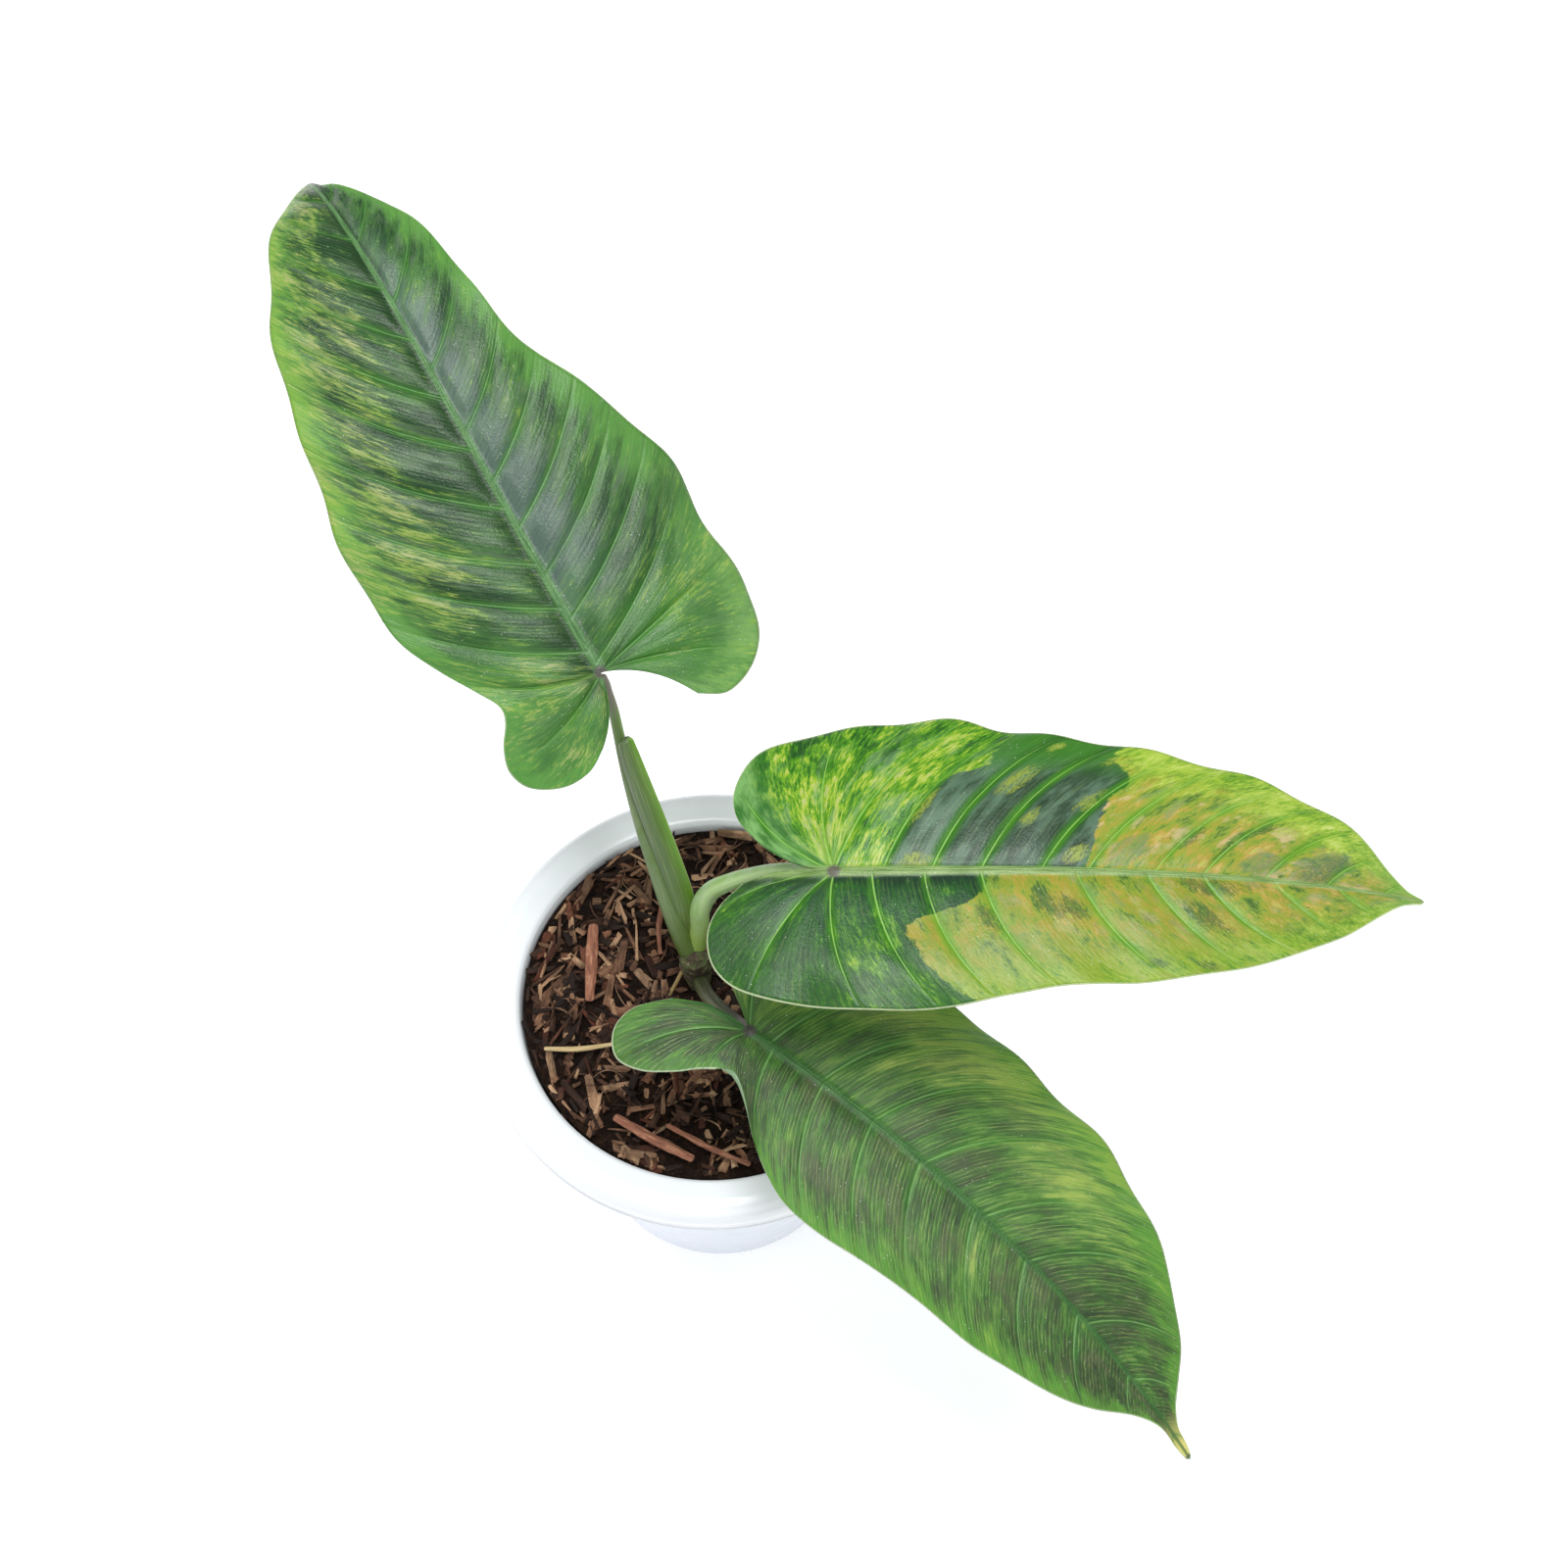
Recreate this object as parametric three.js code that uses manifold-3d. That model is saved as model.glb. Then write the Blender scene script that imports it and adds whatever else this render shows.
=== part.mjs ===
// Potted variegated philodendron subhastatum: three spear-shaped leaves with
// rounded back lobes on long stalks, rising from one short stem in a white pot.
// Millimetres, +Z up. The pot stands on z = 0 and its axis is the Z axis.

import * as THREE from 'three';
import { mergeVertices } from 'three/addons/utils/BufferGeometryUtils.js';
import Module from 'manifold-3d';

// Pot
const potHeight = 125;
const rimRadius = 75;
const mouthRadius = 61.5;
const rimDepth = 12;
const baseRadius = 46;
const potWall = 2.2;
const floorThickness = 3;
const drainHoleRadius = 3.5;
const drainHoleCircle = 30;

// Potting mix
const soilEdgeHeight = 120.5;
const soilMound = 3;
const chipCount = 46;
const chipField = 56;

// Leaf blades
const bladeThickness = 0.8;
const ribWidth = 2.6;
const ribDepth = 2.2;
const fanColumns = 13;
const lateralColumns = 28;
const rowFractions = [0, 0.24, 0.5, 0.76, 1];
const lateralSlant = 0.75;
const lateralBow = 0.06;

// Clearance between neighbouring pieces
const gap = 0.3;

// Each leaf starts at the top of its stalk. Heading and pitch are the direction of
// the midrib there, in degrees, turn and droop what they change by up to the tip.
// The two halves fold up at the midrib and curl down per mm of width. The edges in
// the notch bow by sinusBow. Outlines run from the inner corner of the back lobe
// round to the tip, as [along, aside] in mm.
const leafUpper = {
  base: [-31.9, 62.8, 215],
  heading: 124.5,
  turn: -7.2,
  pitch: 26,
  droop: -66,
  droopPower: 3,
  length: 206,
  roll: -8,
  fold: 8,
  curl: 0.7,
  lobeDroop: 0.0025,
  sinusBow: [0.1, -0.1],
  wave: 1.1,
  wavePeriod: 34,
  left: [
    [-20, 11], [-24, 18], [-24, 27], [-19, 36], [-12, 39], [-5, 36.5], [1, 32], [6, 31], [13, 35], [24, 42],
    [38, 48], [54, 50.5], [70, 50], [88, 47], [106, 44], [124, 41], [142, 36], [160, 28.5], [178, 20.5],
    [191, 11.5], [200, 3.6], [206, 0.9],
  ],
  right: [
    [-20, 22], [-24, 31], [-20, 42.5], [-10, 52], [3, 55.5], [20, 53.5], [36, 54.5], [50, 52.5], [66, 46.5],
    [80, 39.5], [95, 31.5], [108, 26.5], [126, 24], [147, 20.5], [165, 15], [182, 7], [195, 2.6], [206, 0.9],
  ],
};
const leafRight = {
  base: [36.9, 1.3, 205],
  heading: -4.5,
  turn: 6,
  pitch: 9.3,
  droop: -33.3,
  droopPower: 1.6,
  length: 174,
  roll: 0,
  fold: 8,
  curl: 0.5,
  lobeDroop: 0.0033,
  sinusBow: [0.09, 0.06],
  wave: 0.9,
  wavePeriod: 30,
  left: [
    [-24, 11], [-30, 18], [-32.5, 27], [-30.5, 36], [-25, 43], [-13, 48.5], [2, 51], [20, 54], [36, 53],
    [48, 50], [65, 46.5], [80, 44], [95, 41], [112, 37], [130, 31.5], [147, 23], [157, 15], [164.5, 7],
    [169.5, 2.4], [174, 0.8],
  ],
  right: [
    [-27, 3], [-33, 9], [-36, 17], [-35, 25.5], [-31, 32], [-24, 37], [-13, 40.5], [2, 42.5], [20, 43],
    [37, 41.5], [50, 38.5], [62, 36], [75, 35], [90, 33.5], [108, 30], [128, 24], [144, 16.5], [157, 8.5],
    [167, 2.8], [174, 0.8],
  ],
};
const leafLower = {
  base: [12.5, -31, 165],
  heading: -34.9,
  turn: -11.7,
  pitch: -2.8,
  droop: -37.2,
  droopPower: 1.3,
  length: 183,
  roll: 0,
  fold: 8,
  curl: 0.6,
  lobeDroop: 0.0033,
  sinusBow: [0, 0.1],
  wave: 1,
  wavePeriod: 32,
  left: [
    [-19, 13], [-25, 20], [-26, 29], [-21, 35.5], [-13, 37], [-5, 34], [1, 30], [7, 29], [13, 31.5],
    [21, 37], [31, 43], [44, 47], [62, 46.5], [80, 45], [98, 44.5], [112, 41.5], [124, 37.5], [135, 31.5],
    [145, 26], [155, 18.5], [162, 10.5], [167, 5.5], [173, 2.6], [179, 1.8], [183, 0.9],
  ],
  right: [
    [-25, 5], [-33, 13], [-34, 22], [-28, 29], [-19, 28.5], [-11, 23.5], [-5, 18], [1, 14.5], [6, 15.5],
    [14, 21], [22, 27.5], [33, 33.5], [42, 36], [54, 36], [68, 34], [88, 31.5], [107, 30], [121, 26.5],
    [137, 21.5], [149, 15], [160, 6.5], [168, 2.6], [177, 1.8], [183, 0.9],
  ],
};

// Stalks, roots and loose strips follow a route of points with a radius at each.
const stem = {
  route: [[-4.2, 5, 106], [-4.4, 5.2, 118], [-4.8, 5.4, 126], [-5.4, 6.2, 133], [-6.4, 7.4, 139]],
  radii: [3.6, 3.8, 4.1, 4.7, 4.2],
};
const stalkUpper = {
  route: [
    [-7.2, 8.4, 136], [-10.3, 12.4, 143], [-13.8, 18.2, 151], [-17.5, 25.8, 161], [-20.9, 33.7, 170],
    [-23.7, 41.1, 179], [-26, 48.1, 189], [-27.6, 53.6, 197], [-29, 57.6, 204.5], [-32.2, 63.2, 213],
  ],
  radii: [3.3, 3, 2.6, 2.3, 2.1, 2, 1.9, 1.7, 1.6, 1.7],
};
const stalkRight = {
  route: [
    [-5.4, 9.4, 136], [-4.2, 14, 144], [-3.6, 17, 150], [-0.4, 19.1, 157], [6.1, 18.1, 166],
    [15.2, 15.3, 177], [22.6, 11.4, 187], [29.8, 7.2, 195], [37, 1.6, 202.6],
  ],
  radii: [3.2, 3.2, 3.3, 3.1, 2.7, 2.3, 2, 1.7, 1.7],
};
const stalkLower = {
  route: [
    [-4.2, 2.8, 129], [-2.6, -3, 133.5], [-0.6, -8.5, 139], [4.6, -17.6, 148], [9.3, -25.1, 157],
    [12.4, -30.4, 162.8],
  ],
  radii: [2.5, 2.5, 2.4, 2.2, 2, 1.9],
};
const newLeafSheath = {
  route: [
    [-6.2, 12.2, 140], [-7.6, 17, 147], [-9.3, 21.4, 153], [-12.4, 27.6, 162], [-15.3, 33, 170],
    [-18.3, 38.4, 178], [-21.2, 43.6, 186], [-23.6, 48.2, 193], [-24.6, 50.4, 196.5], [-24.9, 51, 197.4],
  ],
  radii: [2.2, 3, 3.2, 3.1, 2.9, 2.7, 2.4, 2, 1.5, 0.7],
};
const aerialRoot = {
  route: [[-7.6, 5.6, 133.5], [-9.6, 4.6, 130.5], [-11.6, 2.4, 127], [-13.7, -0.1, 123.6], [-14.6, -1.4, 120.5]],
  radii: [0.9, 0.7, 0.6, 0.55, 0.4],
};
const barkStrips = [
  { name: 'bark_strip_long', route: [[-39.1, 24.5, 124.2], [-39.4, 11, 124.6], [-39.2, -3, 124.2]], width: 2, height: 0.9 },
  { name: 'bark_strip_front', route: [[-30, -41.6, 123.9], [-17.5, -49.6, 124.6], [-5, -55.6, 123.6]], width: 1.6, height: 0.9 },
  { name: 'bark_strip_thin', route: [[-13.7, -44.6, 124.4], [-0.2, -52.2, 124.4], [12.4, -57.2, 123.2]], width: 0.9, height: 0.7 },
  { name: 'bark_strip_back', route: [[-17.1, 32.6, 124.6], [-18, 22, 125], [-17.2, 13.2, 124.8]], width: 0.8, height: 0.6 },
  { name: 'straw', route: [[-53, -18.9, 123.4], [-42.2, -19.4, 124.3], [-30.5, -17.8, 124.6]], width: 0.9, height: 0.6 },
];

// Colours as shown
const colours = {
  pot: 0xf1f3f7,
  soil: 0x3b2618,
  bark: 0x8a4a33,
  straw: 0xd9bd85,
  stem: 0x4c5a26,
  stalk: 0x6f7f5c,
  sheath: 0x6d7a2b,
  root: 0xb49a68,
  leafUpper: 0x3f6b2c,
  leafRight: 0x7d9a3a,
  leafLower: 0x4d6a2a,
};

const wasm = await Module();
wasm.setup();

function solidFrom(geometry) {
  const plain = geometry.clone();
  plain.deleteAttribute('normal');
  plain.deleteAttribute('uv');
  const welded = mergeVertices(plain, 1e-3);
  const mesh = new wasm.Mesh({
    numProp: 3,
    vertProperties: welded.attributes.position.array,
    triVerts: new Uint32Array(welded.index.array),
  });
  return new wasm.Manifold(mesh);
}

// The largest body of a cut, without the crumbs beside it
function mainBody(solid) {
  return solid.decompose().reduce((best, next) => (next.volume() > best.volume() ? next : best));
}

function geometryFrom(solid) {
  const mesh = mainBody(solid).getMesh();
  const geometry = new THREE.BufferGeometry();
  geometry.setAttribute('position', new THREE.BufferAttribute(mesh.vertProperties, 3));
  geometry.setIndex(new THREE.BufferAttribute(mesh.triVerts, 1));
  geometry.computeVertexNormals();
  return geometry;
}

const plant = new THREE.Group();

function addNode(name, geometry, colour, roughness) {
  const material = new THREE.MeshStandardMaterial({ color: colour, roughness, metalness: 0 });
  const mesh = new THREE.Mesh(geometry, material);
  mesh.name = name;
  plant.add(mesh);
}

// A bent cylinder with closed ends, an oval of width and height across its route
function bentRod(route, radii, sides, segments, grow = 0, flatness = 1) {
  const points = route.map((p) => new THREE.Vector3(...p));
  const last = points.length - 1;
  const stretch = new THREE.Vector3();
  stretch.subVectors(points[0], points[1]).setLength(grow);
  points[0].add(stretch);
  stretch.subVectors(points[last], points[last - 1]).setLength(grow);
  points[last].add(stretch);
  const path = new THREE.CatmullRomCurve3(points);
  const rod = new THREE.CylinderGeometry(1, 1, 1, sides, segments);
  const position = rod.attributes.position;
  const vertex = new THREE.Vector3();
  const aside = new THREE.Vector3();
  const above = new THREE.Vector3();
  for (let i = 0; i < position.count; i += 1) {
    vertex.fromBufferAttribute(position, i);
    const t = THREE.MathUtils.clamp(0.5 - vertex.y, 0, 1);
    const slot = Math.min(Math.floor(t * last), last - 1);
    const radius = THREE.MathUtils.lerp(radii[slot], radii[slot + 1], t * last - slot) + grow;
    const along = path.getTangent(t);
    aside.set(0, 0, 1).cross(along);
    if (aside.length() < 0.3) aside.set(0, 1, 0).cross(along);
    aside.normalize();
    above.crossVectors(along, aside);
    const centre = path.getPoint(t);
    centre.addScaledVector(aside, vertex.x * radius);
    centre.addScaledVector(above, vertex.z * (radius - grow) * flatness + vertex.z * grow);
    position.setXYZ(i, centre.x, centre.y, centre.z);
  }
  return rod;
}

// Midrib of a leaf as a row of points, one per mm
function midribOf(leaf) {
  const points = [new THREE.Vector3(...leaf.base)];
  for (let along = 0; along < leaf.length + 2; along += 1) {
    const next = points[along].clone().add(midribDirection(leaf, along + 0.5));
    points.push(next);
  }
  return points;
}

function midribDirection(leaf, along) {
  const t = THREE.MathUtils.clamp(along / leaf.length, 0, 1.1);
  const heading = THREE.MathUtils.degToRad(leaf.heading + leaf.turn * t);
  const pitch = THREE.MathUtils.degToRad(leaf.pitch + leaf.droop * t ** leaf.droopPower);
  return new THREE.Vector3(
    Math.cos(heading) * Math.cos(pitch),
    Math.sin(heading) * Math.cos(pitch),
    Math.sin(pitch),
  );
}

// Place of a point of the flat leaf in space, and the blade's normal there
function onLeaf(leaf, midrib, along, across, lift) {
  const forward = midribDirection(leaf, Math.max(along, 0));
  const aside = new THREE.Vector3(-forward.y, forward.x, 0).normalize();
  const up = new THREE.Vector3().crossVectors(forward, aside);
  aside.applyAxisAngle(forward, THREE.MathUtils.degToRad(leaf.roll));
  up.applyAxisAngle(forward, THREE.MathUtils.degToRad(leaf.roll));
  const point = new THREE.Vector3();
  if (along >= 0) {
    const step = Math.floor(along);
    point.lerpVectors(midrib[step], midrib[step + 1], along - step);
  } else {
    point.copy(midrib[0]).addScaledVector(forward, along);
    point.addScaledVector(up, -leaf.lobeDroop * along * along);
  }
  const side = Math.sign(across);
  const fold = THREE.MathUtils.degToRad(leaf.fold);
  const curl = THREE.MathUtils.degToRad(leaf.curl);
  const slope = fold - curl * Math.abs(across);
  point.addScaledVector(aside, (side * (Math.sin(fold) - Math.sin(slope))) / curl);
  point.addScaledVector(up, (Math.cos(slope) - Math.cos(fold)) / curl + lift);
  const normal = up.clone();
  if (side !== 0) {
    normal.multiplyScalar(Math.cos(slope)).addScaledVector(aside, -side * Math.sin(slope));
  }
  return { point, normal };
}

// Where a lateral starts on the midrib, for the margin point that it ends in
const rootOf = (edge) => edge.x - lateralSlant * edge.y;

// Margin points of one half: a fan round the back lobe, then one for each lateral
function marginOf(outline, sinusBow) {
  const curve = new THREE.SplineCurve(outline.map((p) => new THREE.Vector2(...p)));
  const edges = curve.getSpacedPoints(600);
  const after = (root) => {
    const last = edges.findLastIndex((edge) => rootOf(edge) <= root);
    const span = rootOf(edges[last + 1]) - rootOf(edges[last]);
    return last + (root - rootOf(edges[last])) / span;
  };
  const edgeAt = (place) => {
    const step = Math.min(Math.floor(place), edges.length - 2);
    return new THREE.Vector2().lerpVectors(edges[step], edges[step + 1], place - step);
  };
  const fanEnd = after(0);
  const columns = [];
  for (let i = 0; i < fanColumns; i += 1) {
    const bow = THREE.MathUtils.lerp(sinusBow, lateralBow, i / fanColumns);
    columns.push({ root: 0, edge: edgeAt((fanEnd * i) / fanColumns), bow });
  }
  const lastRoot = rootOf(edges[edges.length - 1]);
  for (let i = 0; i < lateralColumns; i += 1) {
    const root = lastRoot * (1 - (1 - i / lateralColumns) ** 1.3);
    columns.push({ root, edge: edgeAt(after(root)), bow: lateralBow });
  }
  columns.push({ root: lastRoot, edge: edges[edges.length - 1], bow: lateralBow });
  return columns;
}

// One column of the flat leaf: a curved lateral from the midrib to the margin
function lateralOf(leaf, { root, edge, bow }, side, grow) {
  const start = new THREE.Vector2(root, 0);
  const reach = new THREE.Vector2().subVectors(edge, start);
  const middle = start.clone().addScaledVector(reach, 0.5);
  middle.x -= reach.y * bow * 2;
  middle.y += reach.x * bow * 2;
  const curve = new THREE.QuadraticBezierCurve(start, middle, edge);
  const ribHalf = ribWidth * 0.5 * (1 - 0.75 * (root / leaf.length)) + grow;
  const first = Math.min(0.5, ribHalf / reach.length());
  return rowFractions.map((fraction) => {
    const q = first + (1 - first) * fraction;
    const flat = curve.getPoint(q);
    return { along: flat.x, across: flat.y * side, q };
  });
}

// Both faces, the margin walls and the rib beneath, as one closed shell
function bladeGeometry(leaf, grow = 0) {
  const midrib = midribOf(leaf);
  const positions = [];
  const triangles = [];
  const places = new Map();

  function corner(p) {
    const key = `${p.x.toFixed(3)} ${p.y.toFixed(3)} ${p.z.toFixed(3)}`;
    if (!places.has(key)) {
      places.set(key, positions.length / 3);
      positions.push(p.x, p.y, p.z);
    }
    return places.get(key);
  }

  function triangle(a, b, c) {
    if (a !== b && b !== c && c !== a) triangles.push(a, b, c);
  }

  function quad(a, b, c, d) {
    triangle(a, b, c);
    triangle(a, c, d);
  }

  function faces(along, across, lift, depth) {
    const { point, normal } = onLeaf(leaf, midrib, along, across, lift);
    const top = corner(point.clone().addScaledVector(normal, grow));
    const bottom = corner(point.clone().addScaledVector(normal, -depth - grow));
    return { top, bottom };
  }

  for (const side of [1, -1]) {
    const half = side > 0 ? 0 : 1;
    const margin = marginOf(half === 0 ? leaf.left : leaf.right, leaf.sinusBow[half]);
    const columns = margin.map((column) => {
      const { edge } = column;
      const root = column.root === 0 ? -grow : column.root;
      const fade = THREE.MathUtils.smoothstep(leaf.length - edge.x, 0, 15);
      const swell = leaf.wave * fade * Math.sin((edge.x / leaf.wavePeriod) * 2 * Math.PI + side);
      const rows = lateralOf(leaf, { ...column, root }, side, grow).map((row) => (
        faces(row.along, row.across, swell * row.q ** 3, bladeThickness)
      ));
      const depth = THREE.MathUtils.lerp(ribDepth, bladeThickness, column.root / leaf.length);
      return [faces(root, 0, 0, depth), ...rows];
    });
    const tip = faces(leaf.length + 0.8, 0, 0, bladeThickness);
    columns.push(columns[0].map(() => tip));
    const across = columns[0].length - 1;
    const turn = (a, b, c, d) => (side > 0 ? quad(a, b, c, d) : quad(d, c, b, a));
    for (let i = 0; i < columns.length - 1; i += 1) {
      const here = columns[i];
      const next = columns[i + 1];
      for (let j = 0; j < across; j += 1) {
        turn(here[j].top, next[j].top, next[j + 1].top, here[j + 1].top);
        turn(here[j + 1].bottom, next[j + 1].bottom, next[j].bottom, here[j].bottom);
      }
      turn(here[across].top, next[across].top, next[across].bottom, here[across].bottom);
    }
    for (let j = 0; j < across; j += 1) {
      turn(columns[0][j].top, columns[0][j + 1].top, columns[0][j + 1].bottom, columns[0][j].bottom);
    }
  }

  const geometry = new THREE.BufferGeometry();
  geometry.setAttribute('position', new THREE.Float32BufferAttribute(positions, 3));
  geometry.setIndex(triangles);
  geometry.computeVertexNormals();
  return geometry;
}

// Inner radius of the pot at a height
function potInside(height) {
  const floorRadius = baseRadius - potWall;
  return THREE.MathUtils.mapLinear(height, 0, potHeight - 4, floorRadius, mouthRadius);
}

function potSolid() {
  const skirtTop = potHeight - rimDepth;
  const crown = 4;
  const profile = [
    [0, 0],
    [baseRadius - 1, 0],
    [baseRadius, 1.2],
    [potInside(skirtTop) + potWall, skirtTop],
    [potInside(skirtTop) + potWall, potHeight - 5],
    [rimRadius - potWall - 2, potHeight - 4.6],
    [rimRadius - potWall - 0.6, potHeight - 7],
    [rimRadius - potWall - 0.6, skirtTop],
    [rimRadius - 0.6, skirtTop],
    [rimRadius - 0.2, skirtTop + 0.7],
    [rimRadius - 0.8, skirtTop + 1.4],
    [rimRadius, potHeight - crown - 2],
    [rimRadius - 0.9, potHeight - crown + 1.4],
    [rimRadius - 3.2, potHeight - 0.6],
    [rimRadius - 6, potHeight],
    [mouthRadius + 1.6, potHeight - 1.2],
    [mouthRadius + 0.4, potHeight - 2.4],
    [mouthRadius, potHeight - crown],
    [potInside(floorThickness), floorThickness],
    [0, floorThickness],
  ];
  const shell = new THREE.LatheGeometry(profile.map((p) => new THREE.Vector2(...p)), 44);
  shell.rotateX(Math.PI / 2);
  let solid = solidFrom(shell);
  for (const angle of [45, 135, 225, 315]) {
    const hole = new THREE.CylinderGeometry(drainHoleRadius, drainHoleRadius, 3 * floorThickness, 12);
    hole.rotateX(Math.PI / 2);
    hole.translate(drainHoleCircle, 0, floorThickness / 2);
    hole.rotateZ(THREE.MathUtils.degToRad(angle));
    solid = solid.subtract(solidFrom(hole));
  }
  return solid;
}

function soilHeight(x, y) {
  const radius = Math.hypot(x, y);
  const ripple = 0.5 * Math.sin(x * 0.42 + 1) * Math.cos(y * 0.37) + 0.35 * Math.sin((x - y) * 0.83);
  return soilEdgeHeight + soilMound * (1 - (radius / mouthRadius) ** 2) + ripple;
}

function soilBody() {
  const bottom = floorThickness + gap;
  const rings = 6;
  const profile = [new THREE.Vector2(0, bottom), new THREE.Vector2(potInside(bottom) - gap, bottom)];
  const edge = potInside(soilEdgeHeight) - 2 * gap;
  for (let i = rings; i >= 1; i -= 1) {
    profile.push(new THREE.Vector2((edge * i) / rings, soilEdgeHeight));
  }
  profile.push(new THREE.Vector2(0, soilEdgeHeight));
  const body = new THREE.LatheGeometry(profile, 36);
  body.rotateX(Math.PI / 2);
  const position = body.attributes.position;
  for (let i = 0; i < position.count; i += 1) {
    if (position.getZ(i) > bottom + 1) {
      position.setZ(i, soilHeight(position.getX(i), position.getY(i)));
    }
  }
  return solidFrom(body);
}

// Bark chips over the mix, spread by the golden angle
function chipSolid(i) {
  const fraction = (factor) => (i * factor) % 1;
  const radius = chipField * Math.sqrt((i + 0.5) / chipCount);
  const length = THREE.MathUtils.lerp(6, 13, fraction(0.5698402910));
  const width = THREE.MathUtils.lerp(2.2, 4.4, fraction(0.3819660113));
  const chip = new THREE.CylinderGeometry(0.72, 0.5, 1, 5);
  chip.rotateZ(Math.PI / 2);
  chip.scale(length, width, 2.6);
  chip.rotateY(THREE.MathUtils.degToRad(THREE.MathUtils.lerp(-16, 16, fraction(0.2451223338))));
  chip.rotateZ(2 * Math.PI * fraction(0.7548776662));
  const x = radius * Math.cos(i * 2.399963);
  const y = radius * Math.sin(i * 2.399963);
  chip.translate(x, y, soilHeight(x, y) + 0.2);
  return solidFrom(chip);
}

const stripFlatness = (strip) => strip.height / strip.width;
const stripRod = (strip, grow) => {
  const radii = [strip.width * 0.75, strip.width, strip.width * 0.7];
  return bentRod(strip.route, radii, 6, 6, grow, stripFlatness(strip));
};

// What lies or stands in the mix has a plain bed or hole in it, a gap larger
function soilSolid(sunk) {
  let solid = soilBody();
  for (let i = 0; i < chipCount; i += 1) {
    solid = solid.add(chipSolid(i));
  }
  const mouth = new THREE.CylinderGeometry(mouthRadius - 2 * gap, baseRadius - potWall - gap, potHeight, 36);
  mouth.rotateX(Math.PI / 2);
  mouth.translate(0, 0, potHeight / 2 + gap);
  solid = solid.intersect(solidFrom(mouth));
  for (const piece of sunk) {
    solid = solid.subtract(piece);
  }
  return solid;
}

const stemRod = (grow) => solidFrom(bentRod(stem.route, stem.radii, 12, 10, grow));
const stalkRod = (stalk, grow) => solidFrom(bentRod(stalk.route, stalk.radii, 10, 13, grow));
const rootRod = (grow) => solidFrom(bentRod(aerialRoot.route, aerialRoot.radii, 6, 8, grow));
const bladeSolid = (leaf, grow) => solidFrom(bladeGeometry(leaf, grow));

// Pot and potting mix
addNode('pot', geometryFrom(potSolid()), colours.pot, 0.3);
const sunkPieces = [stemRod(gap), rootRod(gap), ...barkStrips.map((strip) => solidFrom(stripRod(strip, gap)))];
addNode('potting_mix', geometryFrom(soilSolid(sunkPieces)), colours.soil, 0.95);
for (const strip of barkStrips) {
  const colour = strip.name === 'straw' ? colours.straw : colours.bark;
  addNode(strip.name, geometryFrom(solidFrom(stripRod(strip, 0))), colour, 0.9);
}

// Stem, and stalks that clasp it, each cut a gap clear of the ones before
addNode('stem', geometryFrom(stemRod(0)), colours.stem, 0.6);
addNode('aerial_root', geometryFrom(rootRod(0).subtract(stemRod(gap))), colours.root, 0.8);
const upperStalk = stalkRod(stalkUpper, 0).subtract(stemRod(gap)).subtract(bladeSolid(leafUpper, gap));
addNode('stalk_upper', geometryFrom(upperStalk), colours.stalk, 0.5);
const lowerStalk = stalkRod(stalkLower, 0)
  .subtract(stemRod(gap))
  .subtract(stalkRod(stalkUpper, gap))
  .subtract(bladeSolid(leafLower, gap));
addNode('stalk_lower', geometryFrom(lowerStalk), colours.stalk, 0.5);
const rightStalk = stalkRod(stalkRight, 0)
  .subtract(stemRod(gap))
  .subtract(stalkRod(stalkUpper, gap))
  .subtract(stalkRod(stalkLower, gap))
  .subtract(bladeSolid(leafRight, gap));
addNode('stalk_right', geometryFrom(rightStalk), colours.stalk, 0.5);
const sheath = solidFrom(bentRod(newLeafSheath.route, newLeafSheath.radii, 10, 15))
  .subtract(stemRod(gap))
  .subtract(stalkRod(stalkUpper, gap))
  .subtract(stalkRod(stalkRight, gap));
addNode('new_leaf_sheath', geometryFrom(sheath), colours.sheath, 0.5);

// Leaf blades
addNode('leaf_upper', geometryFrom(bladeSolid(leafUpper, 0)), colours.leafUpper, 0.35);
addNode('leaf_right', geometryFrom(bladeSolid(leafRight, 0)), colours.leafRight, 0.35);
addNode('leaf_lower', geometryFrom(bladeSolid(leafLower, 0)), colours.leafLower, 0.35);

export default plant;
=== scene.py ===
import math
import random
import bmesh
import bpy
from mathutils import Matrix, Vector, noise


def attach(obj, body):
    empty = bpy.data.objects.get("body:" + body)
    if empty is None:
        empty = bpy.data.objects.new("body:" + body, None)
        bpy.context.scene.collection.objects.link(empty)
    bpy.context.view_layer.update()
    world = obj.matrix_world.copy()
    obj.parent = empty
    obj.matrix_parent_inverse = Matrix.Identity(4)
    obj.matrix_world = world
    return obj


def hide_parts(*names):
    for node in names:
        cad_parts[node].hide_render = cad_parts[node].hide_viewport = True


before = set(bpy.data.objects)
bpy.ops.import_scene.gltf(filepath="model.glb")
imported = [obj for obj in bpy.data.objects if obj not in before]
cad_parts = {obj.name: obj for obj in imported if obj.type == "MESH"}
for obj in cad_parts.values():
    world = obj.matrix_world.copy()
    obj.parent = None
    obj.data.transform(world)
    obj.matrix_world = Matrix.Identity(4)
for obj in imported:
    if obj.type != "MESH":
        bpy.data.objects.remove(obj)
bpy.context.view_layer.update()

# Potted variegated philodendron: three marbled spear leaves over a white pot of bark mix
mm = 0.001


# Small helpers

def lerp(a, b, t):
    return a + (b - a) * t


def clamp(x, low=0.0, high=1.0):
    return max(low, min(high, x))


def smooth(x, low, high):
    t = clamp((x - low) / (high - low))
    return t * t * (3 - 2 * t)


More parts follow.
